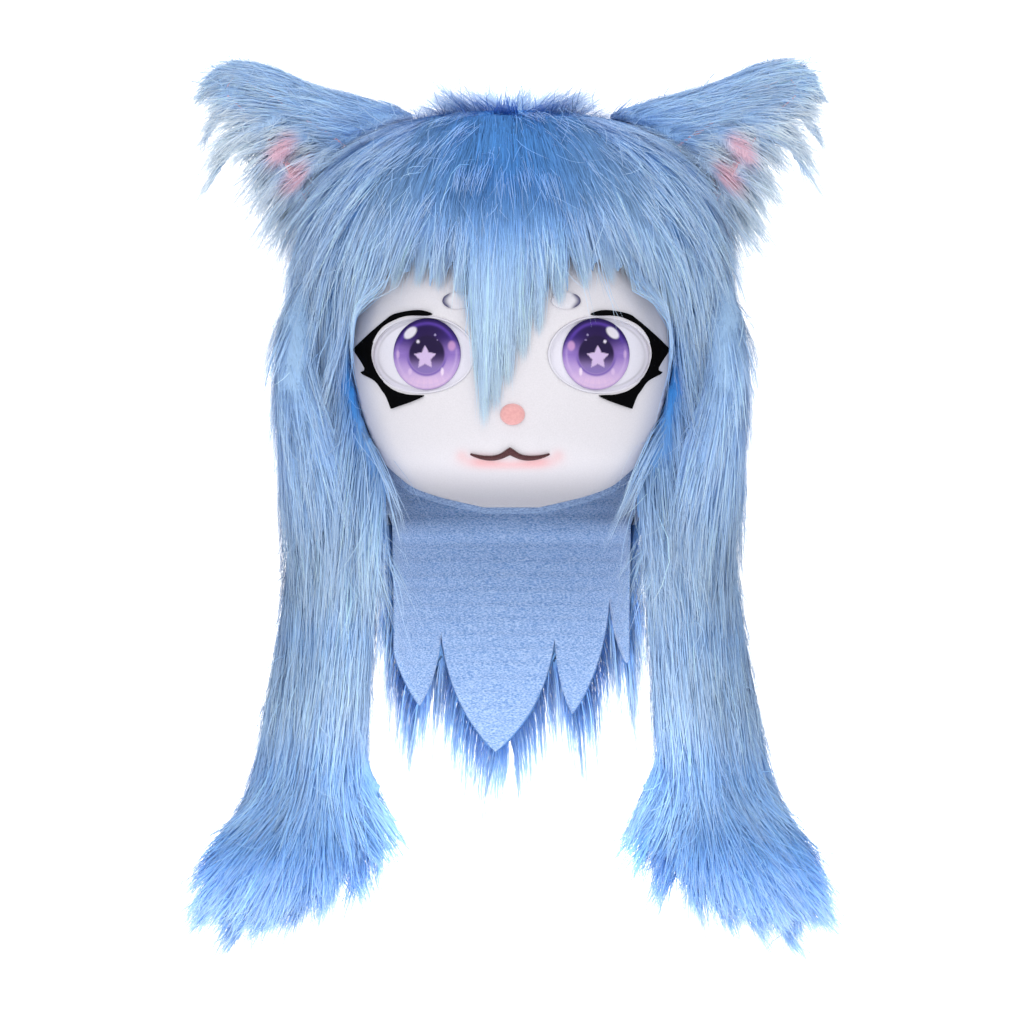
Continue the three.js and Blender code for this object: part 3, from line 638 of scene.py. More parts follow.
@dataclass
class HeadForm:
    """The head's surfaces in millimetres: the cloth hood, the fur coat and the face with its muzzle."""

    height: float = 300.0
    wall: float = 3.0
    half_width: float = 137.0
    front: float = 147.0
    roundness: float = 2.3
    coat_top: float = 36.0
    coat_half_width: float = 176.0
    coat_front: float = 132.0
    face_top: float = 58.0
    face_height: float = 228.0
    face_half_width: float = 129.0
    muzzle_z: float = -232.0
    muzzle_lift: float = 12.0
    muzzle_half_width: float = 40.0
    muzzle_half_height: float = 30.0
    head_rows: dict = field(
        default_factory=lambda: {
            "drop": (0.012, 0.05, 0.12, 0.21, 0.33, 0.46, 0.58, 0.7, 0.81, 0.9, 0.96, 1.0),
            "width": (0.25, 0.48, 0.7, 0.85, 0.955, 1.0, 1.0, 0.965, 0.9, 0.82, 0.76, 0.72),
            "front": (0.24, 0.46, 0.67, 0.81, 0.92, 0.985, 1.0, 0.985, 0.93, 0.8, 0.66, 0.56),
        }
    )
    coat_rows: dict = field(
        default_factory=lambda: {
            "drop": (0.01, 0.035, 0.085, 0.165, 0.265, 0.36, 0.48, 0.6, 0.72, 0.84, 0.93, 1.0),
            "width": (0.3, 0.55, 0.75, 0.9, 0.975, 1.0, 1.0, 1.0, 0.995, 0.975, 0.94, 0.89),
            "front": (0.36, 0.62, 0.79, 0.91, 0.99, 1.0, 0.93, 0.88, 0.88, 0.89, 0.86, 0.82),
        }
    )
    face_rows: dict = field(
        default_factory=lambda: {
            "drop": (
                0, 0.05, 0.14, 0.25, 0.36, 0.47, 0.58, 0.67,
                0.74, 0.8, 0.85, 0.895, 0.93, 0.96, 0.98, 1.0,
            ),
            "width": (
                0.45, 0.68, 0.84, 0.94, 0.985, 1.0, 0.965, 0.92,
                0.875, 0.83, 0.775, 0.69, 0.605, 0.465, 0.325, 0.17,
            ),
        }
    )

    def read(self, rows: dict, key: str, drop: Array) -> Array:
        """Reads a table smoothly.

        Args:
            rows: The table.
            key: The column.
            drop: Where down the form, as a share of its height.

        Returns:
            The column's value there.
        """
        drops, values = np.array(rows["drop"], float), np.array(rows[key], float)
        last = len(drops) - 1
        upper = np.clip(np.searchsorted(drops, drop), 1, last)
        lower = upper - 1
        slopes = np.empty(last + 1)
        slopes[1:-1] = (values[2:] - values[:-2]) / (drops[2:] - drops[:-2])
        slopes[0] = (values[1] - values[0]) / (drops[1] - drops[0])
        slopes[-1] = (values[-1] - values[-2]) / (drops[-1] - drops[-2])
        span = drops[upper] - drops[lower]
        t = np.clip((drop - drops[lower]) / span, 0, 1)
        return (
            values[lower] * (2 * t**3 - 3 * t**2 + 1)
            + slopes[lower] * span * (t**3 - 2 * t**2 + t)
            + values[upper] * (3 * t**2 - 2 * t**3)
            + slopes[upper] * span * (t**3 - t**2)
        )

    def rounded(self, share: Array) -> Array:
        """Gives how far forward a rounded section reaches at a share of its half width."""
        return (1 - np.minimum(np.abs(share), 1) ** self.roundness) ** (1 / self.roundness)

    def shell_y(self, rows: dict, top: float, size: Pair, x: Array, z: Array) -> Array:
        """Gives Y in front of a rounded shell.

        Args:
            rows: The shell's table.
            top: Z of its top, in millimetres.
            size: Its greatest half width and reach forward, in millimetres.
            x: Where across, in millimetres.
            z: How high, in millimetres.

        Returns:
            Y there, in millimetres.
        """
        drop = (top - z) / (self.height + top)
        half = size[0] * self.read(rows, "width", drop)
        front = size[1] * self.read(rows, "front", drop)
        return -front * self.rounded(x / half)

    def head_front(self, x: Array, z: Array) -> Array:
        """Gives Y of the hood's cloth in front, in millimetres."""
        size = (self.half_width + self.wall, self.front + self.wall)
        return self.shell_y(self.head_rows, self.wall, size, x, z)

    def face_y(self, x: Array, z: Array) -> Array:
        """Gives Y of the face's outer surface, in millimetres."""
        across, up = x / self.muzzle_half_width, (z - self.muzzle_z) / self.muzzle_half_height
        return self.head_front(x, z) - self.muzzle_lift * np.exp(-(across**2 + up**2) / 2)

    def coat_y(self, x: Array, z: Array) -> Array:
        """Gives Y of the fur coat in front, in millimetres."""
        return self.shell_y(self.coat_rows, self.coat_top, (self.coat_half_width, self.coat_front), x, z)

    def hair_front(self, x: Array, z: Array) -> Array:
        """Gives Y of whatever lies foremost under the bangs, in millimetres."""
        on_face = np.where(z < -self.face_top, self.face_y(x, z), 0.0)
        return np.minimum(self.coat_y(x, z), on_face)

    def face_half(self, z: Array) -> Array:
        """Gives the face's half width at a height, in millimetres."""
        drop = np.clip((-self.face_top - z) / self.face_height, 0, 1)
        return self.face_half_width * self.read(self.face_rows, "width", drop)

    def face_outline(self) -> Array:
        """Gives the face's closed outline in X and Z.

        Returns:
            Its corners in millimetres, from the right of the brow on.
        """
        x = self.face_half_width * np.array(self.face_rows["width"])
        z = -self.face_top - self.face_height * np.array(self.face_rows["drop"])
        right = spline(np.stack([x, z], 1), 6, False)
        left = right[::-1] * (-1, 1)
        top = np.linspace(left[-1], right[0], 12)[1:-1]
        bottom = np.linspace(right[-1], left[0], 8)[1:-1]
        return np.concatenate([right, bottom, left, top])

    def on_face(self, flat: Array, shift: float) -> Array:
        """Lays flat points in millimetres on the face, or behind it by a shift, and gives metres."""
        y = self.face_y(flat[:, 0], flat[:, 1]) + shift
        return np.stack([flat[:, 0], y, flat[:, 1]], 1) * MM


def patch(flat: Array, faces: list) -> list:
    """Turns a flat filling's triangles to face the front.

    Args:
        flat: The flat points.
        faces: Triangles turned one way.

    Returns:
        The triangles.
    """
    first = flat[list(faces[0])]
    turn = np.cross(first[1] - first[0], first[2] - first[0])
    return [tuple(face) for face in faces] if turn > 0 else [tuple(reversed(face)) for face in faces]


# Corners round an eye opening, a cup and an iris
EYE_CORNERS = 120


@dataclass
class FaceMask:
    """The white face with its eye openings, and the blush around its mouth."""

    form: HeadForm
    eye_x: float = 70.4
    eye_z: float = -165.6
    eye_half_width: float = 42.0
    eye_half_height: float = 31.0
    wall: float = 4.0
    spacing: float = 2.8
    white: tuple = srgb(224, 221, 227)
    # Painted shade: bluish grey by the face's edge and grey under the chin, where less light falls
    shade: tuple = srgb(160, 168, 196)
    chin_shade: tuple = srgb(156, 155, 164)
    blush: tuple = srgb(238, 158, 160)
    shade_from: float = 0.82
    shade_to: float = 1.02
    shade_share: float = 0.55
    chin_from: float = -246.0
    chin_to: float = -284.0
    mouth_x: float = -1.2
    blush_share: float = 0.62
    # Of each blush: how far off the mouth's middle, its height, its reach across and up, its strength
    blushes: tuple = (
        (22.0, -250.0, 13.0, 4.6, 1.0),
        (0.0, -252.5, 20.0, 3.6, 0.75),
        (38.0, -245.0, 5.0, 4.5, 0.5),
    )

    def colours(self, points: Array) -> Array:
        """Paints the face: white, with painted shade by its edge and under its chin, and a pink blush under
        the mouth's ends.

        Args:
            points: The face's points, in metres.

        Returns:
            A linear colour for each point.
        """
        x, z = points[:, 0] / MM, points[:, 2] / MM
        # Painted shade: darker by the face's edge, then darker down the chin
        edge = ease(self.shade_from, self.shade_to, np.abs(x) / self.form.face_half(z))
        result = blend(np.array(self.white), self.shade, edge * self.shade_share)
        result = blend(result, self.chin_shade, ease(self.chin_from, self.chin_to, z))
        off_middle = np.abs(x - self.mouth_x)
        pink = np.zeros(len(points))
        for away, height, wide, high, strength in self.blushes:
            pink += strength * np.exp(-(((off_middle - away) / wide) ** 2) - ((z - height) / high) ** 2)
        return blend(result, self.blush, np.clip(pink, 0, 1) * self.blush_share)

    def build(self) -> Mesh:
        """Builds the face around its two eye openings.

        Returns:
            The mesh.
        """
        size = (self.eye_half_width, self.eye_half_height)
        holes = [ellipse(side.value * self.eye_x, self.eye_z, *size, EYE_CORNERS) for side in Side]
        flat, faces = fill_outline(self.form.face_outline(), holes, self.spacing)
        points, walls = thicken(self.form.on_face(flat, 0), patch(flat, faces), self.wall * MM)
        mesh = mesh_from(points, walls)
        paint(mesh, self.colours(points_of(mesh)))
        piece = add_piece("face_skin", mesh, "face")
        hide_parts("face_mask")
        return mesh


@dataclass
class Eye:
    """One eye: the mesh cup set into the face, and the printed iris."""

    side: Side
    form: HeadForm
    mask: FaceMask
    recess: float = 7.0
    cup_wall: float = 1.5
    fit: float = 0.1
    iris_x: float = 66.8
    iris_z: float = -165.0
    iris_half_width: float = 26.7
    iris_half_height: float = 28.2
    iris_lift: float = 1.1
    iris_thickness: float = 0.5
    iris_step: float = 0.9
    cup_rings: int = 25
    cup_middle: float = 0.04
    cup_step: float = 0.2
    rim_depth: float = 1.0
    white: tuple = srgb(232, 230, 241)
    line_reach: tuple = (0.83, 0.86)
    star: tuple = (0.05, -0.1)
    star_size: float = 0.32
    star_depth: float = 1.1
    # The catch light's place, and its reach along and across
    catch_light: tuple = (0.49, 0.6, 0.22, 0.13)
    catch_tilt: float = math.radians(38)
    # Of each spot: its place, its reach across and up, its strength and its display colour
    spots: tuple = (
        (-0.74, 0.22, 0.12, 0.15, 0.75, (208, 160, 208)),
        (0.26, 0.35, 0.05, 0.05, 0.9, (236, 228, 246)),
        (-0.25, 0.53, 0.03, 0.03, 0.7, (200, 190, 236)),
        (-0.31, 0.39, 0.025, 0.025, 0.6, (190, 170, 230)),
        (-0.46, -0.5, 0.05, 0.12, 0.9, (240, 222, 242)),
        (0.5, -0.49, 0.06, 0.1, 0.55, (226, 200, 232)),
        (0.86, 0.0, 0.05, 0.12, 0.5, (222, 190, 228)),
    )

    def cup_colours(self, flat: Array) -> Array:
        """Paints the eye white: with painted shade towards its top, under the face's rim, and a thin line
        inside its outer rim.

        Args:
            flat: The cup's points in X and Z, in millimetres.

        Returns:
            A linear colour for each point.
        """
        across = (flat[:, 0] * self.side.value - self.mask.eye_x) / self.mask.eye_half_width
        up = (flat[:, 1] - self.mask.eye_z) / self.mask.eye_half_height
        reach = np.hypot(across / self.line_reach[0], up / self.line_reach[1])
        line = np.exp(-(((reach - 1) / 0.022) ** 2)) * ease(-0.25, 0.2, across)
        # Painted shade: the cup darkens towards its top, under the face's rim
        base = np.array(self.white) * (1 - 0.1 * ease(0.5, 1.0, up)[:, None])
        return base * (1 - 0.28 * line[:, None])

    def build_cup(self) -> None:
        """Builds the cup: a curved bottom and a wall that reaches forward to the face."""
        centre = np.array([self.side.value * self.mask.eye_x, self.mask.eye_z])
        size = np.array([self.mask.eye_half_width, self.mask.eye_half_height]) - self.fit
        angle = np.linspace(0, TURN, EYE_CORNERS, endpoint=False)
        ring = np.stack([np.cos(angle), np.sin(angle)], 1)
        inner, outer = centre + ring * (size - self.cup_wall), centre + ring * size
        shares = np.linspace(self.cup_middle, 1, self.cup_rings + 1)[:-1]
        behind = self.recess + self.cup_wall
        flats = [centre + ring * size * share for share in shares] + [inner, inner, outer, outer]
        shifts = [self.recess] * len(shares)
        shifts += [self.recess - self.cup_step, self.rim_depth, self.rim_depth, behind]
        rows = [self.form.on_face(flat, shift) for flat, shift in zip(flats, shifts)]
        middle, back = (self.form.on_face(centre[None], shift) for shift in (self.recess, behind))
        last = 1 + (len(rows) - 1) * EYE_CORNERS
        closing = [(last + EYE_CORNERS, last + (i + 1) % EYE_CORNERS, last + i) for i in range(EYE_CORNERS)]
        faces = ring_faces(len(rows), EYE_CORNERS) + closing
        mesh = mesh_from(np.concatenate([middle, *rows, back]), faces)
        paint(mesh, self.cup_colours(points_of(mesh)[:, [0, 2]] / MM))
        piece = add_piece(f"eye_cup_{self.side.label}", mesh, "eye")
        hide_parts(f"eye_white_{self.side.label}")

    def iris_shades(self, u: Array, v: Array) -> list[tuple[tuple, Array]]:
        """Gives the iris's shades: indigo above, lilac below, a dark pupil with a ring round it.

        Args:
            u: Where across the iris, from -1 by the nose to 1 outside.
            v: Where up the iris, from -1 to 1.

        Returns:
            The display colours and their shares, the lowest first.
        """
        r, turn, off_pupil = np.hypot(u, v), np.arctan2(v, u), np.hypot(u, v + 0.02)
        spokes = 0.5 + 0.5 * np.sin(turn * 44) * np.sin(turn * 17 + 1)
        pupil = 1 - ease(0.5, 0.56, off_pupil)
        ring = np.exp(-(((off_pupil - 0.57) / 0.035) ** 2))
        pale_ring = np.exp(-(((r - 0.88) / 0.03) ** 2)) * 0.55
        deep_ring = np.exp(-(((r - 0.86) / 0.05) ** 2)) * 0.7
        return [
            ((60, 38, 122), ease(0.02, 0.5, v)),
            ((34, 16, 78), ease(0.35, 0.75, v) * 0.95),
            ((188, 160, 214), ease(0.0, -0.45, v)),
            ((228, 198, 228), ease(-0.4, -0.85, v) * 0.9),
            ((176, 150, 216), spokes * ease(0.55, 0.8, r) * ease(0.5, 0.0, v) * 0.22),
            ((36, 20, 60), np.exp(-((u / 0.52) ** 2) - ((v - 0.34) / 0.4) ** 2)),
            ((34, 20, 62), pupil * (0.45 + 0.55 * ease(-0.45, 0.1, v))),
            ((128, 108, 184), pupil * ease(-0.15, -0.5, v) * 0.7),
            ((104, 78, 168), ring * ease(0.1, -0.3, v) * 0.9),
            ((206, 180, 224), pale_ring * ease(0.4, -0.2, v)),
            ((98, 68, 178), deep_ring * ease(0.1, 0.6, v)),
        ]

    def iris_lights(self, u: Array, v: Array) -> list[tuple[tuple, Array]]:
        """Gives the small star in the pupil, the large catch light, the small spots and the rim.

        Args:
            u: Where across the iris, from -1 by the nose to 1 outside.
            v: Where up the iris, from -1 to 1.

        Returns:
            The display colours and their shares, the lowest first.
        """
        star_u, star_v = u - self.star[0], v - self.star[1]
        point = np.abs(((np.arctan2(star_u, star_v) / TURN * 5) + 0.5) % 1 - 0.5) * 2
        star_edge = self.star_size / (1 + self.star_depth * point)
        layers = [((206, 184, 224), 1 - ease(0.0, 0.035, np.hypot(star_u, star_v) - star_edge))]
        light_u, light_v, long, wide = self.catch_light
        cos, sin = math.cos(-self.catch_tilt), math.sin(-self.catch_tilt)
        along = (u - light_u) * cos + (v - light_v) * sin
        across = -(u - light_u) * sin + (v - light_v) * cos
        light = 1 - ease(0.8, 1.15, np.hypot(along / long, across / wide))
        layers.append(((246, 242, 250), light * 0.8))
        for spot_u, spot_v, half_width, half_height, strength, tone in self.spots:
            away = np.hypot((u - spot_u) / half_width, (v - spot_v) / half_height)
            layers.append((tone, (1 - ease(0.6, 1.2, away)) * strength))
        rim = ease(0.93, 0.99, np.hypot(u, v))
        layers.append(((40, 26, 92), rim * ease(-0.3, 0.5, v) * 0.9))
        layers.append(((176, 150, 208), rim * ease(0.2, -0.5, v) * 0.7))
        return layers

    def iris_colours(self, flat: Array) -> Array:
        """Prints the iris, one shade over the other.

        Args:
            flat: The iris's points in X and Z, in millimetres.

        Returns:
            Their linear colours.
        """
        u = (flat[:, 0] * self.side.value - self.iris_x) / self.iris_half_width
        v = (flat[:, 1] - self.iris_z) / self.iris_half_height
        colour = np.tile(srgb(142, 112, 192), (len(flat), 1))
        for tone, share in self.iris_shades(u, v) + self.iris_lights(u, v):
            colour = blend(colour, srgb(*tone), np.clip(share, 0, 1))
        return colour

    def build_iris(self) -> None:
        """Builds the iris as a thin round print on the cup."""
        centre_x = self.side.value * self.iris_x
        outline = ellipse(centre_x, self.iris_z, self.iris_half_width, self.iris_half_height, EYE_CORNERS)
        flat, faces = fill_outline(outline, [], self.iris_step)
        front = self.form.on_face(flat, self.recess - self.iris_lift)
        points, walls = thicken(front, patch(flat, faces), self.iris_thickness * MM)
        mesh = mesh_from(points, walls)
        paint(mesh, self.iris_colours(points_of(mesh)[:, [0, 2]] / MM))
        piece = add_piece(f"iris_print_{self.side.label}", mesh, "iris")
        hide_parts(f"iris_{self.side.label}")


@dataclass
class FaceTrim:
    """The felt lashes, the brows, the mouth line and the nose, laid on the face."""

    form: HeadForm
    mask: FaceMask
    fit: float = 0.3
    thickness: float = 2.2
    # Corners in shares of the eye opening's half width and half height, outwards and up
    lash: tuple = (
        (-0.16, 1.06), (0.09, 1.14), (0.51, 1.06), (0.71, 0.90), (1.04, 0.54), (1.34, 0.18),
        (1.11, -0.31), (1.19, -0.41), (1.15, -0.47), (0.91, -0.65), (0.77, -0.90), (0.69, -1.06),
        (0.60, -1.37), (0.24, -1.21), (-0.01, -1.06), (0.07, -1.03), (0.31, -1.01), (0.56, -0.90),
        (0.79, -0.65), (0.95, -0.31), (1.01, 0.05), (0.95, 0.41), (0.79, 0.72), (0.56, 0.90),
        (0.31, 1.00), (-0.10, 1.00),
    )
    # The numbers of the lash's sharp points
    lash_corners: tuple = (5, 7, 8, 12)
    brow_x: float = 43.0
    brow_z: float = -123.2
    brow_half_width: float = 11.5
    brow_half_height: float = 6.6
    brow_sink: float = 0.85
    brow_dark: tuple = srgb(66, 64, 104)
    brow_pale: tuple = srgb(224, 222, 230)
    mouth_x: float = -1.2
    mouth_z: float = -244.5
    mouth_half_width: float = 31.4
    mouth_dip: float = 3.4
    mouth_peak: float = 4.2
    mouth_line: float = 2.7
    nose_x: float = 0.8
    nose_z: float = -213.0
    nose_half_width: float = 9.8
    nose_half_height: float = 8.5
    nose_lift: float = 6.0

    def lay(
        self, name: str, outline: Array, spacing: float, finish: str, sink: float = 0.0
    ) -> Object:
        """Lays a flat cut piece on the face.

        Args:
            name: The piece's name.
            outline: Its outline in X and Z, in millimetres.
            spacing: The distance between its points.
            finish: Its finish's name.
            sink: How far it is pressed into the face's nap.

        Returns:
            The new piece.
        """
        flat, faces = fill_outline(outline, [], spacing)
        outer = self.form.on_face(flat, sink - self.fit - self.thickness)
        points, walls = thicken(outer, patch(flat, faces), self.thickness * MM)
        return add_piece(name, mesh_from(points, walls), finish)

    def lash_outline(self, side: Side) -> Array:
        """Gives the lash's outline, round along its curves and sharp at its points.

        Args:
            side: The eye's side.

        Returns:
            Its corners in X and Z, in millimetres.
        """
        shares = np.array(self.lash)
        ids = list(range(len(shares)))
        for corner in self.lash_corners:
            ids += [corner, corner]
        curve = spline(shares[sorted(ids)], 4, True)
        curve = curve[np.linalg.norm(curve - np.roll(curve, 1, 0), axis=1) > 1e-4]
        x = side.value * (self.mask.eye_x + curve[:, 0] * self.mask.eye_half_width)
        z = self.mask.eye_z + curve[:, 1] * self.mask.eye_half_height
        return np.stack([x, z], 1)

    def mouth_outline(self) -> Array:
        """Gives the mouth's closed outline: two shallow dips that meet in a small peak.

        Returns:
            Its corners in X and Z, in millimetres.
        """
        share = np.linspace(-1, 1, 65)
        dip = np.sin(np.abs(share) * math.pi) ** 0.85
        peak = np.exp(-((share / 0.2) ** 2))
        middle = self.mouth_z - self.mouth_dip * dip + self.mouth_peak * 0.5 * peak
        half = self.mouth_line / 2 * (1 - np.abs(share) ** 3) + 0.25 + 1.1 * peak
        x = self.mouth_x + self.mouth_half_width * share
        over = np.stack([x, middle + half], 1)
        under = np.stack([x, middle - half], 1)[::-1]
        return np.concatenate([over, under])

    def build_brows(self) -> None:
        """Builds the brows: grey-blue, darker towards their outer ends."""
        size = (self.brow_half_width, self.brow_half_height)
        for side in Side:
            outline = ellipse(side.value * self.brow_x, self.brow_z, *size, 48)
            piece = self.lay(f"brow_felt_{side.label}", outline, 1.0, "brow", self.brow_sink)
            points = points_of(piece.data)
            across = (points[:, 0] / MM * side.value - self.brow_x) / self.brow_half_width
            up = (points[:, 2] / MM - self.brow_z) / self.brow_half_height
            dark = ease(0.45, 1.0, np.hypot(across, up)) * ease(0.2, 0.7, across)
            paint(piece.data, blend(np.array(self.brow_pale), self.brow_dark, dark))
            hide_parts(f"brow_{side.label}")

    def build_nose(self) -> None:
        """Builds the nose as a smooth low dome."""
        rings, count = 13, 40
        angle = np.linspace(0, TURN, count, endpoint=False)
        rows = []
        for rise in np.linspace(0, math.pi / 2, rings + 1):
            x = self.nose_x + self.nose_half_width * math.sin(rise) * np.cos(angle)
            z = self.nose_z + self.nose_half_height * math.sin(rise) * np.sin(angle)
            y = self.form.face_y(x, z) - self.fit - self.nose_lift * math.cos(rise)
            rows.append(np.stack([x, y, z], 1) * MM)
        points = np.concatenate([rows[0][:1], *rows[1:]])
        faces = [face[::-1] for face in ring_faces(rings, count)]
        last = 1 + (rings - 1) * count
        faces.append(tuple(range(last, last + count)))
        piece = add_piece("nose_dome", mesh_from(points, faces), "nose")
        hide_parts("nose")

    def build(self) -> None:
        """Builds all the trim."""
        for side in Side:
            piece = self.lay(f"lash_felt_{side.label}", self.lash_outline(side), 1.8, "lash")
            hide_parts(f"lash_{side.label}")
        piece = self.lay("mouth_thread", self.mouth_outline(), 1.2, "mouth")
        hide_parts("mouth_line")
        self.build_brows()
        self.build_nose()


# Fur


@dataclass(frozen=True)
class Pile:
    """How a patch of fur grows: sizes in millimetres, shares from 0 to 1."""

    strands: int
    guides: int
    length: float
    length_spread: float
    width: float
    lift: float
    follow: float
    droop: float
    clump: float
    frizz: float
    stray: float
    stray_reach: float
    wisps: float
    float_height: float
    steps: int = 5
    stray_clump: float = 0.15
    root_depth: float = 1.5
    lock_tone: float = 0.5
    own_tone: float = 0.7


# How much of its root's width a strand loses at the tip, and how far its face is turned by its own twist
TAPER = 0.75
TWIST = 0.35


def ribbon_mesh(paths: Array, normals: Array, width: Array, colours: Array) -> Mesh:
    """Makes one joined mesh of flat tapered strands.

    Args:
        paths: Each strand's points, as strands by steps by three, in metres.
        normals: The way that each strand faces, one for each strand.
        width: Each strand's width at the root, in metres.
        colours: A linear colour for each point of each strand.

    Returns:
        The mesh, with a baking layout of one small cell for each strand.
    """
    count, steps = paths.shape[:2]
    along = np.gradient(paths, axis=1)
    across = unit(np.cross(along, normals[:, None]))
    share = np.linspace(0, 1, steps)
    half = width[:, None, None] / 2 * (1 - TAPER * share**2)[None, :, None]
    left, right = (paths - across * half)[:, :-1], (paths + across * half)[:, :-1]
    pairs = np.stack([left, right], 2).reshape(count, -1, 3)
    points = np.concatenate([pairs, paths[:, -1:]], 1)
    per = points.shape[1]
    base = np.array([[2 * s, 2 * s + 1, 2 * s + 3, 2 * s + 2] for s in range(steps - 2)])
    offsets = np.arange(count)[:, None, None] * per
    quads = (base[None] + offsets).reshape(count, -1)
    tips = np.array([per - 3, per - 2, per - 1])[None] + np.arange(count)[:, None] * per
    loops = np.concatenate([quads, tips], 1).ravel()
    sizes = np.tile([4] * (steps - 2) + [3], count)
    mesh = bpy.data.meshes.new("strands")
    mesh.vertices.add(count * per)
    mesh.vertices.foreach_set("co", points.astype(np.float32).ravel())
    mesh.loops.add(len(loops))
    mesh.loops.foreach_set("vertex_index", loops.astype(np.int32))
    mesh.polygons.add(len(sizes))
    mesh.polygons.foreach_set("loop_start", np.concatenate([[0], np.cumsum(sizes)[:-1]]).astype(np.int32))
    mesh.update(calc_edges=True)
    paint(mesh, per_point(colours))
    side = math.ceil(math.sqrt(count))
    cell = np.stack([np.arange(count) % side, np.arange(count) // side], 1)[:, None]
    edges = np.stack([np.tile([0.2, 0.8], steps - 1), np.repeat(share[:-1], 2)], 1)
    place = np.concatenate([edges, [[0.5, 1.0]]])
    place[:, 1] = 0.1 + 0.8 * place[:, 1]
    atlas = ((cell + place[None]) / side).reshape(-1, 2)
    layout = mesh.uv_layers.new(name="OFBake")
    layout.data.foreach_set("uv", atlas[loops].astype(np.float32).ravel())
    broad = np.cross(across, along)
    outward = np.sign(np.sum(broad * normals[:, None], axis=2, keepdims=True))
    facing = unit(normals[:, None] + TWIST * unit(broad) * outward)
    mesh.shade_smooth()
    mesh.normals_split_custom_set_from_vertices(per_point(facing).astype(np.float32).tolist())
    return mesh


def per_point(values: Array) -> Array:
    """Gives both edges of each strand the values along it, and its tip the last one."""
    return np.concatenate([np.repeat(values[:, :-1], 2, axis=1), values[:, -1:]], 1).reshape(-1, 3)


def soft_copy(nodes: list[str], voxel: float, smoothing: int) -> Mesh:
    """Makes one rounded body of some nodes' own forms.

    Args:
        nodes: The nodes' names.
        voxel: The size of its new faces in metres.
        smoothing: How many times its points are evened out.

    Returns:
        The new mesh.
    """
    points, faces = [], []
    for node in nodes:
        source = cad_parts[node]
        start = len(points)
        points += [source.matrix_world @ point.co for point in source.data.vertices]
        faces += [[start + index for index in face.vertices] for face in source.data.polygons]
    mesh = bpy.data.meshes.new("soft_copy")
    mesh.from_pydata(points, [], faces)
    piece = add_plain("soft_copy", mesh)
    remesh = piece.modifiers.new("remesh", "REMESH")
    remesh.mode = "VOXEL"
    remesh.voxel_size = voxel
    smooth = piece.modifiers.new("smooth", "SMOOTH")
    smooth.factor = 0.5
    smooth.iterations = smoothing
    apply_modifiers(piece)
    result = piece.data
    bpy.data.objects.remove(piece)
    result.shade_smooth()
    return result


@dataclass
class Growth:
    """Where strands may grow: a body's surface, read once."""

    mesh: Mesh

    def __post_init__(self) -> None:
        """Reads the body's triangles."""
        self.triangles = triangles_of(self.mesh)
        self.points = points_of(self.mesh)
        flat = np.empty(len(self.mesh.vertices) * 3, np.float32)
        self.mesh.vertices.foreach_get("normal", flat)
        self.normals = flat.reshape(-1, 3).astype(float)
        self.tree = BVHTree.FromPolygons(self.points.tolist(), self.triangles.tolist())

    def scatter(self, count: int, wanted: PlaceRule, seed: int) -> tuple[Array, Array]:
        """Spreads roots over the body.

        Args:
            count: How many roots.
            wanted: Gives each place a share of growth from its points and normals.
            seed: The seed of the spread.

        Returns:
            The roots and the normals there.
        """
        rng = np.random.default_rng(seed)
        corner = self.points[self.triangles]
        middle = corner.mean(1)
        facing = unit(self.normals[self.triangles].sum(1))
        area = np.linalg.norm(np.cross(corner[:, 1] - corner[:, 0], corner[:, 2] - corner[:, 0]), axis=1)
        weight = area * np.clip(wanted(middle, facing), 0, None)
        chosen = rng.choice(len(weight), count, p=weight / weight.sum())
        share = rng.random((count, 2))
        flip = share.sum(1) > 1
        share[flip] = 1 - share[flip]
        a, b, c = (corner[chosen, i] for i in range(3))
        roots = a + (b - a) * share[:, :1] + (c - a) * share[:, 1:]
        na, nb, nc = (self.normals[self.triangles[chosen, i]] for i in range(3))
        return roots, unit(na + (nb - na) * share[:, :1] + (nc - na) * share[:, 1:])

    def push_out(self, points: Array, height: float) -> Array:
        """Moves points that dip into the body back above it.

        Args:
            points: The points in metres.
            height: How far above the body they stay.

        Returns:
            The moved points.
        """
        moved = points.copy()
        for index, point in enumerate(points):
            place, normal, _, away = self.tree.find_nearest(Vector(point))
            if place is None or away > 4 * height + 0.01:
                continue
            depth = (Vector(point) - place).dot(normal)
            if depth < height:
                moved[index] = point + np.array(normal) * (height - depth)
        return moved


class FrontSurface:
    """The foremost surface of some bodies, seen from the front."""

    start_y = -0.5

    def __init__(self, meshes: list[Mesh], form: HeadForm) -> None:
        """Reads the bodies.

        Args:
            meshes: The bodies' meshes.
            form: The head's own surfaces, for places that no body covers.
        """
        self.form = form
        points, faces = [], []
        for mesh in meshes:
            faces.append(triangles_of(mesh) + sum(len(part) for part in points))
            points.append(points_of(mesh))
        self.tree = BVHTree.FromPolygons(np.concatenate(points).tolist(), np.concatenate(faces).tolist())

    def y(self, x: Array, z: Array) -> Array:
        """Gives Y of the surface in millimetres at flat places in millimetres.

        Args:
            x: Where across.
            z: How high.

        Returns:
            Y of each place.
        """
        result = self.form.hair_front(x, z)
        ahead = Vector((0, 1, 0))
        for index in np.ndindex(x.shape):
            hit = self.tree.ray_cast(Vector((x[index] * MM, self.start_y, z[index] * MM)), ahead)[0]
            if hit is not None:
                result[index] = hit[1] / MM
        return result


def trim(path: Array) -> Array:
    """Shortens the strands that reach too far from the head, as scissors would.

    Args:
        path: Each strand's points, as strands by steps by three, in metres.

    Returns:
        The strands, each within the head's box and a small edge round it.
    """
    low, high = (np.array(corner) for corner in cad_box)
    edge = TRIM_SHARE * (high - low) + TRIM_EDGE
    root = path[:, :1]
    reach = path - root
    room = np.where(reach > 0, high + edge - root, root - low + edge)
    share = np.clip(room / np.maximum(np.abs(reach), 1e-6), 0.05, 1).min((1, 2))
    return root + reach * share[:, None, None]


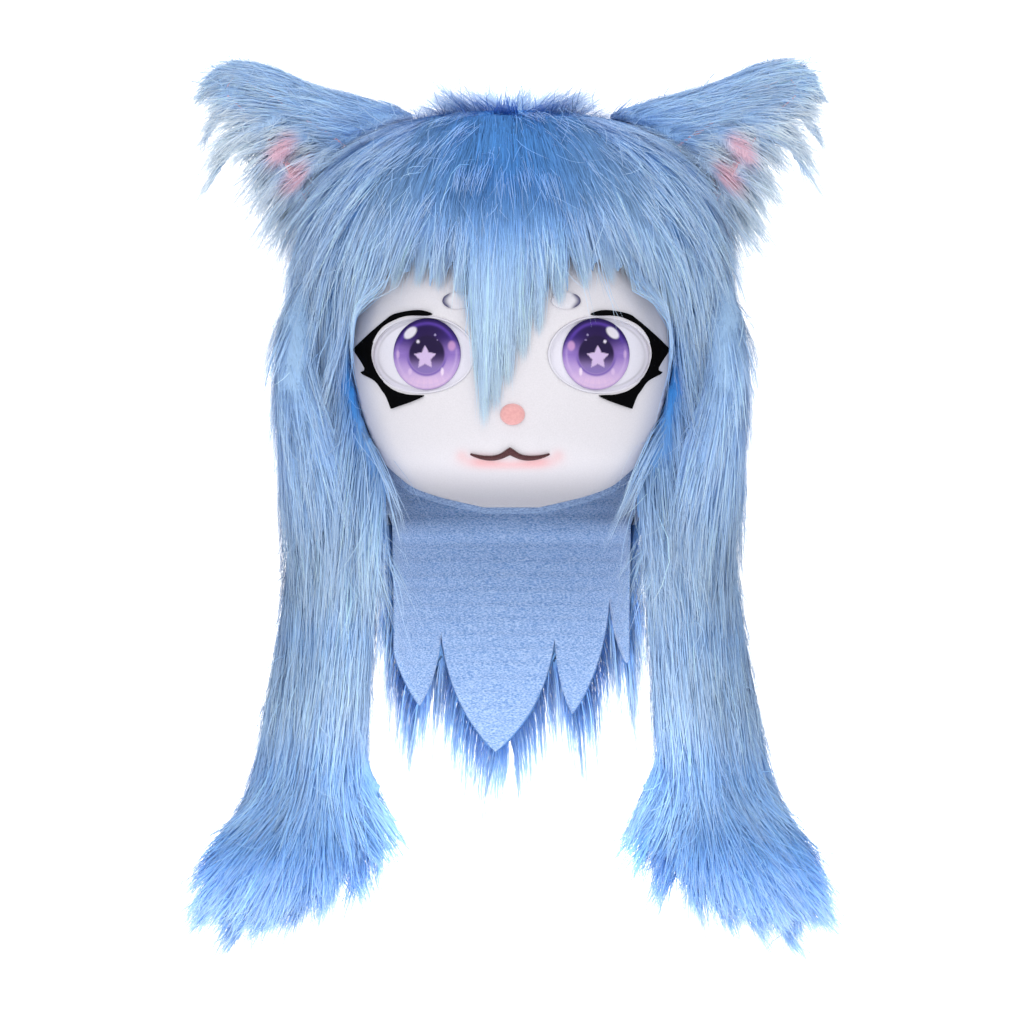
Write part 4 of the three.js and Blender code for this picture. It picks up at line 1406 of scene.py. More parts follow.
def nearest(points: Array, centres: Array) -> Array:
    """Gives the number of the centre nearest to each point.

    Args:
        points: The points.
        centres: The centres.

    Returns:
        One number for each point.
    """
    result = np.empty(len(points), int)
    for start in range(0, len(points), 4000):
        part = points[start : start + 4000]
        away = ((part[:, None] - centres[None]) ** 2).sum(2)
        result[start : start + 4000] = away.argmin(1)
    return result


@dataclass
class Parting:
    """Keeps strands beside the face, off the eyes and lashes."""

    form: HeadForm
    top: float = -128.0
    overlap: float = 1.0
    low_overlap: float = 9.0
    unevenness: float = 2.0

    def comb(self, path: Array) -> Array:
        """Moves the strands that would hang over the face out to its edge.

        Args:
            path: Each strand's points, as strands by steps by three, in metres.

        Returns:
            The combed strands.
        """
        x, z = path[..., 0] / MM, path[..., 2] / MM
        own = np.abs(np.sin(path[:, :1, 0] * 91000.0))
        overlap = self.low_overlap * ease(-205, -240, z) + self.unevenness
        edge = self.form.face_half(z) - self.overlap - overlap * own
        share = ease(self.top + 14, self.top, z) * (path[..., 1] < 0) * ease(70, 100, np.abs(x))
        wanted = np.sign(x) * np.maximum(np.abs(x), edge)
        combed = path.copy()
        combed[..., 0] = (x + (wanted - x) * share) * MM
        return combed


@dataclass
class Groom:
    """Combs strands over a body: guides follow a flow, and the strands between them gather in locks."""

    growth: Growth
    pile: Pile
    flow: PlaceRule
    wanted: PlaceRule
    tint: TintRule
    length_at: LengthRule | None
    seed: int
    parting: Parting | None = None

    def guides(self) -> tuple[Array, Array]:
        """Combs the guides.

        Returns:
            Each guide's points and its facing at the root.
        """
        pile = self.pile
        roots, normals = self.growth.scatter(pile.guides, self.wanted, self.seed)
        length = pile.length * MM * (1 if self.length_at is None else self.length_at(roots))
        stride = np.broadcast_to(length, (len(roots),))[:, None] / pile.steps
        flow = self.flow(roots, normals)
        heading = unit(flow + normals * pile.lift)
        path = [roots]
        for step in range(pile.steps):
            point = path[-1] + heading * stride
            height = pile.float_height * MM * (0.4 + 0.6 * step / pile.steps)
            point = self.growth.push_out(point, height)
            path.append(point)
            turned = self.flow(point, normals)
            down = np.array([0, 0, -1.0])
            heading = unit(heading * (1 - pile.follow) + turned * pile.follow + down * pile.droop)
        return np.stack(path, 1), normals

    def strands(self) -> tuple[Array, Array, Array, Array]:
        """Grows the strands between the guides.

        Returns:
            The strands' points, facings, widths and colours.
        """
        pile = self.pile
        rng = np.random.default_rng(self.seed + 100)
        guide, _ = self.guides()
        roots, normals = self.growth.scatter(pile.strands, self.wanted, self.seed + 200)
        lock = nearest(roots, guide[:, 0])
        share = np.linspace(0, 1, pile.steps + 1)
        size = 1 - pile.length_spread * rng.random(len(roots))
        size = np.where(rng.random(len(roots)) < pile.wisps, 1.15 + 0.4 * rng.random(len(roots)), size)
        is_stray = rng.random(len(roots)) < pile.stray
        own = roots[:, None] + (guide[lock] - guide[lock, :1]) * size[:, None, None]
        pull = pile.clump * (0.6 + 0.4 * rng.random(len(roots))) * np.where(is_stray, pile.stray_clump, 1)
        gather = (pull[:, None] * share**1.3)[:, :, None]
        shortened = guide[lock] * size[:, None, None] + guide[lock, :1] * (1 - size[:, None, None])
        path = own * (1 - gather) + shortened * gather
        reach = np.where(is_stray, pile.stray_reach, pile.frizz) * MM
        drift = rng.normal(0, 1, (len(roots), 1, 3)) * (share**1.5)[None, :, None]
        wave = rng.normal(0, 1, (len(roots), 1, 3)) * np.sin(share * math.pi)[None, :, None] * 0.6
        path = path + (drift + wave) * reach[:, None, None]
        path[:, 0] = roots - normals * pile.root_depth * MM
        path = trim(path if self.parting is None else self.parting.comb(path))
        width = pile.width * MM * (0.7 + 0.6 * rng.random(len(roots)))
        lock_tone = rng.normal(0, 1, pile.guides)[lock]
        tone = rng.normal(0, 1, len(roots)) * pile.own_tone + lock_tone * pile.lock_tone
        colour = self.tint(path, np.broadcast_to(share, path.shape[:2]), tone)
        return path, normals, width, colour


def grow(name: str, groom: Groom) -> Object:
    """Adds a groom to the scene as one piece of fur."""
    return add_piece(name, ribbon_mesh(*groom.strands()), "fur")


@dataclass(frozen=True)
class FurTone:
    """The fur's colours: deep and clear blue near the crown, pale blue over the rest, paler tips."""

    deep: tuple = srgb(62, 146, 234)
    clear: tuple = srgb(104, 172, 246)
    soft: tuple = srgb(148, 192, 240)
    pale: tuple = srgb(208, 230, 252)
    white: tuple = srgb(232, 242, 252)
    spread: float = 0.16

    def mix(self, deep: Array, clear: Array, share: Array, tone: Array) -> Array:
        """Mixes a strand's colours, with painted shade towards its root.

        Args:
            deep: How much deep blue each point has; some furs add painted shade to it.
            clear: How much clear blue each point has.
            share: Each point's share of its strand.
            tone: Each strand's lightness, about -1 to 1.

        Returns:
            A linear colour for each point.
        """
        deep, clear = np.clip(deep, 0, 1), np.clip(clear, 0, 1)
        base = blend(np.array(self.soft), self.pale, 0.1 + 0.75 * share)
        base = blend(blend(base, self.clear, clear), self.deep, deep)
        ends = 0.6 * ease(0.72, 1.0, share) * (1 - 0.7 * deep) * (1 - 0.6 * clear)
        base = blend(base, self.white, ends)
        # Painted shade: each strand darkens towards its root, among the other strands
        root = 0.7 + 0.3 * ease(0.0, 0.4, share)
        return np.clip(base * root[..., None] * (1 + self.spread * tone[..., None, None]), 0.004, 0.97)


TONE = FurTone()


def add_undercoat(name: str, body: Mesh, tint: TintRule, share: float) -> Object:
    """Adds the soft body that some hair grows on, coloured like the hair itself.

    Args:
        name: The piece's name.
        body: Its mesh.
        tint: The hair's colours.
        share: How far along a strand the colour is taken.

    Returns:
        The new piece.
    """
    points = points_of(body)
    paint(body, tint(points[None], np.full((1, len(points)), share), np.zeros(1))[0])
    return add_piece(name, body, "undercoat")


def crown_depth(x: Array, z: Array) -> Array:
    """Says how much deep blue the crown has at a place seen from the front, in millimetres."""
    return ease(-118, -12, z) * np.exp(-(((x + 4) / 82) ** 2))


@dataclass
class HoodFur:
    """The fur of the hood and the cape's outer side."""

    parting: Parting
    whorl: tuple = (-4.0, -34.0, 44.0)
    tufts: tuple = ((-42.0, -36.0, 36.0), (38.0, -36.0, 36.0))
    tuft_reach: float = 17.0
    top_fuzz: float = 0.4
    fringe_backing: float = 1.0
    hem_z: float = -0.296
    coat_voxel: float = 0.0066
    coat_smoothing: int = 6
    bed_voxel: float = 0.006
    bed_smoothing: int = 8
    crown_seed: int = 11
    back_seed: int = 12
    cape_seed: int = 13
    crown_pile: Pile = Pile(
        strands=20000, guides=700, length=104, length_spread=0.5, width=0.58, lift=0.12, follow=0.55,
        droop=0.05, clump=0.38, frizz=2.4, stray=0.1, stray_reach=14, wisps=0.07, float_height=3.5,
    )
    back_pile: Pile = Pile(
        strands=10000, guides=320, length=92, length_spread=0.35, width=1.3, lift=0.12, follow=0.55,
        droop=0.1, clump=0.5, frizz=2.2, stray=0.04, stray_reach=8, wisps=0.02, float_height=3.5, steps=4,
    )
    cape_pile: Pile = Pile(
        strands=9000, guides=260, length=80, length_spread=0.7, width=0.55, lift=0.06, follow=0.5,
        droop=0.25, clump=0.6, frizz=1.4, stray=0.06, stray_reach=5, wisps=0.08, float_height=2.5, steps=4,
    )

    def __post_init__(self) -> None:
        """Reads the cape's lower edge."""
        self.cape_edge = NapeCape().lower_edge()

    def cape_z(self, points: Array) -> Array:
        """Gives the height of the cape's lower edge below some points, in millimetres."""
        return np.interp(points[:, 0] / MM, self.cape_edge[:, 0], self.cape_edge[:, 1])

    def standing(self, points: Array) -> Array:
        """Says how much the hair stands up: most in the two tufts of the crown.

        Args:
            points: Places in metres.

        Returns:
            Shares from 0, lying, to 1, upright.
        """
        away = [np.linalg.norm(points / MM - np.array(tuft), axis=-1) for tuft in self.tufts]
        x, z = np.abs(points[:, 0]) / MM, points[:, 2] / MM
        top = self.top_fuzz * ease(22, 38, z) * ease(90, 60, x)
        return np.maximum(np.exp(-((np.minimum(*away) / self.tuft_reach) ** 2)), top)

    def flow(self, points: Array, normals: Array) -> Array:
        """Combs the fur away from the whorl, and down lower on the head.

        Args:
            points: Places in metres.
            normals: The normals there.

        Returns:
            Unit vectors along the hair.
        """
        away = unit(points - np.array(self.whorl) * MM)
        low = ease(0.015, -0.16, points[:, 2])[:, None]
        outward = unit(points * (1, 1, 0))
        field_line = away * (1 - 0.8 * low) + low * (np.array([0, 0, -1.1]) + 0.08 * outward)
        level = unit(field_line - normals * np.sum(field_line * normals, 1, keepdims=True))
        return unit(level + np.array([0, 0, 1.6]) * self.standing(points)[:, None])

    def deep_blue(self, points: Array) -> Array:
        """Says how deep the blue is: deepest on the crown, with painted shade beside the face.

        Args:
            points: Places in metres.

        Returns:
            Shares, about 0 to 1.
        """
        x, y, z = points[..., 0] / MM, points[..., 1] / MM, points[..., 2] / MM
        crown = crown_depth(x, z) * ease(60, -20, y)
        # Painted shade on the hair beside the face, at the eyes' height
        beside = np.exp(-(((np.abs(x) - 126) / 12) ** 2) - ((z + 190) / 40) ** 2) * ease(-20, -60, y)
        return 0.85 * crown + 0.75 * beside

    def tint(self, path: Array, share: Array, tone: Array) -> Array:
        """Colours the strands of the hood, with painted shade and painted light.

        Args:
            path: Each strand's points, in metres.
            share: Each point's share of its strand.
            tone: Each strand's lightness, about -1 to 1.

        Returns:
            A linear colour for each point.
        """
        # Painted light: the fuzz on the crown's top, which stands in shade, gets less deep blue
        over = ease(24, 42, path[..., 2] / MM) * ease(-62, -48, path[..., 1] / MM)
        deep = self.deep_blue(path) * (1 - 0.2 * share) * (1 - 0.6 * over)
        clear = 0.16 + 0.1 * ease(60, 160, path[..., 1] / MM)
        return TONE.mix(deep, clear * (1 - 0.5 * share), share, tone)

    def cape_tint(self, path: Array, share: Array, tone: Array) -> Array:
        """Colours the cape's hair: clear blue at the root, pale at the tip, raised as painted light where it
        hangs in shade.
        """
        # Painted light: the whole colour is raised by 1.3
        return 1.3 * TONE.mix(0.12 * (1 - share), 0.6 * (1 - share) ** 1.5, 0.35 + 0.65 * share, tone)

    def under_tint(self, path: Array, share: Array, tone: Array) -> Array:
        """Colours the undercoat: a little deeper than the hair over it, as painted shade under the hair."""
        return TONE.mix(self.deep_blue(path) + 0.25, 2 * share, share, tone)

    def outside(self, points: Array, normals: Array) -> Array:
        """Says where the hood's outer side is, down to its hem.

        Args:
            points: Places in metres.
            normals: The normals there.

        Returns:
            True where it is.
        """
        outward = np.sum(normals * unit(points - np.array([0, 0, -0.15])), 1)
        level = (outward > 0.15) & (normals[:, 2] > -0.45)
        rim = (points[:, 1] < -0.03) & (normals[:, 1] < -0.1) & (normals[:, 2] > -0.45)
        return (level | rim) & (points[:, 2] > self.hem_z)

    def front_share(self, points: Array, normals: Array) -> Array:
        """Says where the crown's and the front's hair grows, thin under the bangs.

        Args:
            points: Places in metres.
            normals: The normals there.

        Returns:
            The hair's density there.
        """
        covered = ease(0.105, 0.08, np.abs(points[:, 0])) * ease(-0.03, -0.06, points[:, 2])
        ahead = ease(-0.04, -0.08, points[:, 1])
        dense = 1 + 2.0 * self.standing(points)
        toward_front = ease(0.075, 0.02, points[:, 1])
        return dense * self.outside(points, normals) * toward_front * (1 - covered * ahead)

    def back_share(self, points: Array, normals: Array) -> Array:
        """Says where the back's hair grows."""
        return self.outside(points, normals) * ease(0.02, 0.06, points[:, 1])

    def cape_share(self, points: Array, normals: Array) -> Array:
        """Says where the cape's hair grows: on its outer side, densest by its lobes.

        Args:
            points: Places in metres.
            normals: The normals there.

        Returns:
            The hair's density there.
        """
        outward = np.sum(normals * unit(points * (1, 1, 0)), 1)
        above = points[:, 2] - self.cape_z(points) * MM
        near = 1 + 2.0 * ease(0.045, 0.0, above)
        return (points[:, 2] < -0.3) * ease(-0.3, 0.2, outward) * near

    def cape_flow(self, points: Array, normals: Array) -> Array:
        """Combs the cape's hair down and a little outwards."""
        return unit(np.array([0, 0, -1.0]) + 0.1 * unit(points * (1, 0, 0) + 1e-6))

    def length_at(self, points: Array) -> Array:
        """Says how long the hood's hair is: shorter on the crown, in the tufts and by the hem behind."""
        near_hem = ease(0.04, 0.08, points[:, 1]) * ease(-0.2, -0.29, points[:, 2])
        return 0.5 + 0.5 * ease(0.02, -0.09, points[:, 2]) - 0.6 * near_hem - 0.24 * self.standing(points)

    def follow_lobes(self, mesh: Mesh) -> Mesh:
        """Draws the cape's lower edge up to its lobes, so that only strands hang below them.

        Args:
            mesh: The coat's mesh, which is changed.

        Returns:
            The same mesh.
        """
        points = points_of(mesh)
        limit = (self.cape_z(points) - self.fringe_backing) * MM
        below = (points[:, 2] < limit) & (points[:, 2] < -0.33)
        points[below, 2] = (limit + 0.05 * (points[:, 2] - limit))[below]
        move_points(mesh, points)
        mesh.update()
        return mesh

    def build(self) -> Mesh:
        """Builds the undercoat and the strands over it.

        Returns:
            The surface that the hair lies on.
        """
        body = self.follow_lobes(soft_copy(["hood_fur"], self.coat_voxel, self.coat_smoothing))
        coat = add_undercoat("hood_undercoat", body, self.under_tint, 0.25)
        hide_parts("hood_fur")
        combed = self.follow_lobes(soft_copy(["hood_fur", "bangs"], self.bed_voxel, self.bed_smoothing))
        growth = Growth(combed)
        crown = Groom(
            growth, self.crown_pile, self.flow, self.front_share, self.tint,
            self.length_at, self.crown_seed, self.parting,
        )
        back = Groom(
            growth, self.back_pile, self.flow, self.back_share, self.tint, self.length_at, self.back_seed,
        )
        cape = Groom(
            growth, self.cape_pile, self.cape_flow, self.cape_share, self.cape_tint, None, self.cape_seed,
        )
        grow("hood_hair", crown)
        grow("hood_hair_back", back)
        grow("cape_hair", cape)
        return combed


@dataclass
class Bangs:
    """The fringe: pointed locks from the whorl, with one long lock between the eyes."""

    form: HeadForm
    whorl_x: float = -4.0
    whorl_z: float = 26.0
    strands: int = 14000
    seed: int = 21
    width: float = 0.58
    steps: int = 6
    voxel: float = 0.004
    smoothing: int = 4
    lock_width: float = 25.0
    lock_tones: int = 9
    arch: float = 3.0
    curl: float = 1.7
    drift: tuple = (0.9, 1.2)
    loose: float = 0.28
    stray: float = 0.06
    # Of each lock: its tip's X and drop in shares of the face, and its fullness
    tips_x: tuple = (
        -1.02, -0.88, -0.73, -0.58, -0.45, -0.32, -0.21, -0.17, -0.1,
        -0.02, 0.07, 0.17, 0.3, 0.46, 0.62, 0.76, 0.9, 1.02,
    )
    drops: tuple = (
        0.38, 0.3, 0.26, 0.25, 0.26, 0.29, 0.6, 0.74, 0.69,
        0.6, 0.51, 0.42, 0.32, 0.26, 0.24, 0.25, 0.3, 0.38,
    )
    fullness: tuple = (1, 1, 1, 1, 1, 1, 1.1, 1, 1, 1.1, 1.1, 1, 1, 1, 1, 1, 1, 1)

    def tint(self, path: Array, share: Array, tone: Array) -> Array:
        """Colours the bangs: deep at the whorl, pale at the tips.

        Args:
            path: Each strand's points, in metres.
            share: Each point's share of its strand.
            tone: Each strand's lightness, about -1 to 1.

        Returns:
            A linear colour for each point.
        """
        x, z = path[..., 0] / MM, path[..., 2] / MM
        clear = 0.3 * ease(-170, -60, z) * np.exp(-((x / 90) ** 2))
        return TONE.mix(0.88 * crown_depth(x, z), clear, 0.9 * share * ease(-30, -110, z), tone)

    def build(self, others: list[Mesh]) -> None:
        """Builds the fringe's body and its strands.

        Args:
            others: Bodies that the fringe lies on.
        """
        body = soft_copy(["bangs"], self.voxel, self.smoothing)
        base = add_undercoat("bangs_undercoat", body, self.tint, 0.5)
        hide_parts("bangs")
        surface = FrontSurface([body, *others], self.form)
        rng = np.random.default_rng(self.seed)
        count = self.strands
        tip_x = np.array(self.tips_x) * self.form.face_half_width
        tip_z = -self.form.face_top - self.form.face_height * np.array(self.drops)
        weight = np.array(self.fullness)
        lock = rng.choice(len(tip_x), count, p=weight / weight.sum())
        side = np.clip(rng.normal(0, 0.45, count), -1.1, 1.1)
        loose = rng.random(count) < self.loose
        end = np.where(loose, 0.55 + 0.35 * rng.random(count), 0.8 + 0.2 * rng.random(count) ** 0.6)
        start = rng.random(count) ** 1.1 * 0.6 * end
        steps = np.linspace(0, 1, self.steps)
        t = start[:, None] + (end - start)[:, None] * steps
        x, z = self.lock_line(tip_x[lock][:, None], tip_z[lock][:, None], t)
        gather = np.where(loose[:, None], 1 - 0.25 * t, 1 - 0.88 * t**1.6)
        x = x + side[:, None] * self.lock_width / 2 * (0.35 + 1.3 * np.minimum(t, 0.5)) * gather * 1.6
        z = z + np.abs(side[:, None]) ** 1.5 * self.arch * t
        stray = 1 + 4.0 * (rng.random(count) < self.stray)
        drift = rng.normal(0, 1, (count, 2))[:, None] * (steps**1.5)[None, :, None] * stray[:, None, None]
        curl = rng.normal(0, 1, (count, 1)) * np.sin(steps * math.pi * (1 + 1.5 * rng.random((count, 1))))
        x, z = x + drift[..., 0] * self.drift[0] + curl * self.curl, z + drift[..., 1] * self.drift[1]
        depth = surface.y(x, z)
        for _ in range(2):
            padded = np.concatenate([depth[:, :1], depth, depth[:, -1:]], 1)
            depth = np.minimum(depth, 0.25 * padded[:, :-2] + 0.5 * depth + 0.25 * padded[:, 2:])
        layer = rng.random(count)[:, None]
        bulge = 2.0 + 8.0 * np.sin(np.clip(t, 0, 1) * math.pi) ** 0.8
        y = depth - (0.6 + layer * bulge) * np.minimum(1, 0.3 + 3 * steps)
        path = trim(np.stack([x, y, z], 2) * MM)
        own_tone = rng.normal(0, 0.7, count)
        tones = rng.normal(0, 0.5, len(tip_x) * self.lock_tones)
        tone = own_tone + tones[lock * self.lock_tones + (side * 4 + 4).astype(int)]
        # Painted shade: strands that lie deeper in the fringe are darker, the outer ones lighter
        tone = tone + 0.5 * (layer[:, 0] - 0.5)
        colour = self.tint(path, t, tone)
        facing = unit(np.stack([x.mean(1) / 130, np.full(count, -1.0), np.full(count, 0.25)], 1))
        width = self.width * MM * (0.7 + 0.6 * rng.random(count))
        add_piece("bangs_hair", ribbon_mesh(path, facing, width, colour), "fur")

    def lock_line(self, to_x: Array, to_z: Array, t: Array) -> tuple[Array, Array]:
        """Runs the bent middle lines of the locks from the whorl to their tips.

        Args:
            to_x: Each tip's X, in millimetres.
            to_z: Each tip's Z, in millimetres.
            t: How far along its line each point lies.

        Returns:
            X and Z of the points, in millimetres.
        """
        root_x = self.whorl_x + to_x * 0.42
        bend_x = to_x * 0.93 + (self.whorl_x - to_x) * 0.12
        bend_z = self.whorl_z + (to_z - self.whorl_z) * 0.38
        x = root_x * (1 - t) ** 2 + bend_x * 2 * t * (1 - t) + to_x * t**2
        z = self.whorl_z * (1 - t) ** 2 + bend_z * 2 * t * (1 - t) + to_z * t**2
        return x, z


@dataclass
class Ear:
    """One ear: the padded fur ear, its pink plush lining and the long hairs over it."""

    side: Side
    pile: Pile = Pile(
        strands=8600, guides=460, length=46, length_spread=0.5, width=0.5, lift=0.04, follow=0.6,
        droop=0.14, clump=0.25, frizz=1.5, stray=0.08, stray_reach=9, wisps=0.1, float_height=1.5, steps=4,
    )
    seeds: tuple = (31, 41)
    voxel: float = 0.004
    smoothing: int = 4
    lining_voxel: float = 0.0016
    lining_smoothing: int = 3
    base: tuple = (100.0, 0.0, 5.0)
    tip: tuple = (244.0, -6.0, 66.0)
    rise: float = math.radians(23)
    sink: tuple = (1.4, 0.2, 1.4)
    set_back: float = 1.1
    pink: tuple = srgb(252, 190, 206)
    # Of each pink patch: its X and Z, its reach across and along
    patches: tuple = ((186.0, 2.0, 9.0, 15.0), (175.0, -20.0, 8.0, 15.0), (159.0, -48.0, 9.0, 15.0))

    def mirrored(self, point: tuple) -> Array:
        """Gives a point of the ear on this side, in metres."""
        return np.array(point) * (self.side.value, 1, 1) * MM

    def along(self, points: Array) -> Array:
        """Says how far along the ear points lie, from 0 at its base to 1 at its tip."""
        base, axis = self.mirrored(self.base), self.mirrored(self.tip) - self.mirrored(self.base)
        return ((points - base) @ axis) / (axis @ axis)

    def below(self, points: Array) -> Array:
        """Says how far points lie below the line from base to tip, in millimetres."""
        local = points / MM * (self.side.value, 1, 1) - np.array(self.base)
        return local[..., 0] * math.sin(self.rise) - local[..., 2] * math.cos(self.rise)

    def flow(self, points: Array, normals: Array) -> Array:
        """Combs the hair out along the ear, down towards its outer edge, and straight down off its tip.

        Args:
            points: Places in metres.
            normals: The normals there.

        Returns:
            Unit vectors along the hair.
        """
        angle = self.rise - math.radians(70) * ease(-5, 62, self.below(points))
        angle = angle - math.radians(80) * ease(0.75, 1.2, self.along(points))
        angle = np.maximum(angle, -math.radians(80))
        line = np.stack([self.side.value * np.cos(angle), np.zeros(len(points)), np.sin(angle)], 1)
        return unit(line - 0.8 * normals * np.sum(line * normals, 1, keepdims=True))

    def pink_share(self, points: Array) -> Array:
        """Says how much of the pink plush shows between the hairs at some places.

        Args:
            points: Places in metres.

        Returns:
            Shares from 0 to 1.
        """
        x, z = points[..., 0] / MM * self.side.value, points[..., 2] / MM
        share = np.zeros(x.shape)
        for patch_x, patch_z, wide, long in self.patches:
            along = (z - patch_z) * 0.8 - (x - patch_x) * 0.6
            across = (z - patch_z) * 0.6 + (x - patch_x) * 0.8
            share = np.maximum(share, np.exp(-((across / wide) ** 2) - (along / long) ** 2))
        return share * ease(5, -5, points[..., 1] / MM)

    def tint(self, path: Array, share: Array, tone: Array) -> Array:
        """Colours the ear: soft blue, paler towards the tip, with the pink plush between the hairs.

        Args:
            path: Each strand's points, in metres.
            share: Each point's share of its strand.
            tone: Each strand's lightness, about -1 to 1.

        Returns:
            A linear colour for each point.
        """
        place = np.clip(self.along(path.reshape(-1, 3)).reshape(share.shape), 0, 1)
        low = ease(8, 34, self.below(path))
        light = np.clip(share + 0.1 * place + 0.35 * low, 0, 1)
        blue = TONE.mix(0.1 * (1 - place), (0.3 - 0.22 * low) * (1 - 0.5 * place), light, tone)
        pale = np.clip(1.1 * share**1.5, 0, 1) * low
        blue = blend(blue, TONE.white, pale)
        ragged = 1.5 + 0.7 * np.clip(tone, -1, 1)[..., None]
        shown = np.clip(self.pink_share(path) * ragged - 0.15, 0, 1) * 0.75
        return blend(blue, self.pink, shown)

    def hair_share(self, points: Array, normals: Array) -> Array:
        """Says where the ear's hair grows: thinner at the tip and over the pink patches."""
        return 1 - 0.5 * ease(0.95, 1.2, self.along(points)) - 0.15 * self.pink_share(points)

    def length_at(self, points: Array) -> Array:
        """Says how long the ear's hair is: long off its lower edge, short at its tip."""
        off_edge = ease(20, 60, self.below(points)) * ease(0.88, 0.6, self.along(points))
        return 0.8 + 0.6 * off_edge - 0.52 * ease(0.72, 1.0, self.along(points))

    def build(self) -> None:
        """Builds the ear's body, its hair and its lining."""
        label = self.side.label
        body = soft_copy([f"ear_{label}"], self.voxel, self.smoothing)
        padded = add_undercoat(f"ear_body_{label}", body, self.tint, 0.4)
        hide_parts(f"ear_{label}")
        soft = Growth(soft_copy([f"ear_lining_{label}"], self.lining_voxel, self.lining_smoothing))
        sunk = soft.points - soft.normals * np.array(self.sink) * MM + np.array([0, self.set_back, 0]) * MM
        move_points(soft.mesh, sunk)
        lining = add_piece(f"ear_plush_{label}", soft.mesh, "ear_plush")
        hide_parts(f"ear_lining_{label}")
        seed = self.seeds[0] if self.side is Side.LEFT else self.seeds[1]
        hair = Groom(Growth(body), self.pile, self.flow, self.hair_share, self.tint, self.length_at, seed)
        grow(f"ear_hair_{label}", hair)


@dataclass
class SideHair:
    """The hair beside the face and the long tail that it becomes, on one side."""

    side: Side
    parting: Parting
    pile: Pile = Pile(
        strands=12800, guides=520, length=82, length_spread=0.45, width=0.6, lift=0.1, follow=0.55,
        droop=0.1, clump=0.3, frizz=2.2, stray=0.1, stray_reach=10, wisps=0.06, float_height=3,
    )
    seeds: tuple = (51, 61)
    voxel: float = 0.005
    smoothing: int = 5
    # How far off the head's middle the tail's own middle hangs at some drops
    drops: tuple = (85, 200, 300, 428, 527, 587, 650)
    middles: tuple = (160, 162, 143, 154, 169, 194, 222)
    fan_x: float = 152.0
    fan_z: float = -492.0
    # Of each clear blue band: its height, its reach and its strength
    bands: tuple = ((-392.0, 16.0, 0.2), (-500.0, 24.0, 0.35), (-566.0, 46.0, 0.7))

    def centre_x(self, z: Array) -> Array:
        """Gives the middle of the tail at a height, in millimetres."""
        return np.interp(-z, self.drops, self.middles)

    def flow(self, points: Array, normals: Array) -> Array:
        """Combs the hair down, and fans it out at the tail's end.

        Args:
            points: Places in metres.
            normals: The normals there.

        Returns:
            Unit vectors along the hair.
        """
        x, z = points[:, 0] / MM * self.side.value, points[:, 2] / MM
        slope = (self.centre_x(z - 20) - self.centre_x(z)) / 20
        down = unit(np.stack([slope, np.zeros(len(x)), np.full(len(x), -1.0)], 1))
        fan_drop = np.minimum(z - self.fan_z, -16)
        spokes = unit(np.stack([1.25 * (x - self.fan_x), np.zeros(len(x)), fan_drop], 1))
        fan = ease(self.fan_z + 10, self.fan_z - 50, z)[:, None]
        line = unit(down * (1 - fan) + spokes * fan) * (self.side.value, 1, 1)
        return unit(line - 0.85 * normals * np.sum(line * normals, 1, keepdims=True))

    def tint(self, path: Array, share: Array, tone: Array) -> Array:
        """Colours the tail: soft blue with faint bands, clearer blue at its end, with painted light and
        shade.

        Args:
            path: Each strand's points, in metres.
            share: Each point's share of its strand.
            tone: Each strand's lightness, about -1 to 1.

        Returns:
            A linear colour for each point.
        """
        x, z = np.abs(path[..., 0]) / MM, path[..., 2] / MM
        bands = [strength * np.exp(-(((z - band) / reach) ** 2)) for band, reach, strength in self.bands]
        clear = 0.14 + sum(bands)
        # Painted shade on the hair beside the face, at the eyes' height
        beside = np.exp(-(((x - 122) / 14) ** 2) - ((z + 190) / 45) ** 2)
        # Painted light and shade: darker along the middle and at the top, lighter beside the lower face and
        # at the end
        middle = ease(-270, -330, z) * ease(-480, -430, z)
        painted_light_and_shade = 1 - 0.1 * middle + 0.42 * ease(-545, -610, z)
        painted_light_and_shade = painted_light_and_shade + 0.12 * np.exp(-(((z + 235) / 60) ** 2)) - 0.1 * ease(-190, -130, z)
        blue = TONE.mix(0.7 * beside * (1 - 0.4 * share), clear * (1 - 0.25 * share), share, tone)
        return blue * painted_light_and_shade[..., None]

    def hair_share(self, points: Array, normals: Array) -> Array:
        """Says where the hair grows: thin on the side that lies on the head, dense at the tail's end.

        Args:
            points: Places in metres.
            normals: The normals there.

        Returns:
            The hair's density there.
        """
        x_normal = normals[:, 0] * self.side.value
        toward_head = (points[:, 2] > -0.3) * (x_normal < -0.3) * (points[:, 1] > -0.07)
        ahead = ease(-0.02, -0.06, points[:, 1])
        dense = 1 + 1.2 * ease(-0.47, -0.56, points[:, 2])
        return dense * np.where(toward_head, 0.1 + 0.9 * ahead, 1.0)

    def length_at(self, points: Array) -> Array:
        """Says how long the hair is: shorter towards the tail's end."""
        z = points[:, 2]
        return 1 - 0.45 * ease(-0.46, -0.56, z) - 0.2 * ease(-0.58, -0.62, z)

    def build(self) -> None:
        """Builds the tail's body and its strands."""
        label = self.side.label
        body = soft_copy([f"side_hair_{label}"], self.voxel, self.smoothing)
        base = add_undercoat(f"side_undercoat_{label}", body, self.tint, 0.35)
        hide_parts(f"side_hair_{label}")
        seed = self.seeds[0] if self.side is Side.LEFT else self.seeds[1]
        groom = Groom(
            Growth(body), self.pile, self.flow, self.hair_share, self.tint,
            self.length_at, seed, self.parting,
        )
        grow(f"side_hair_strands_{label}", groom)


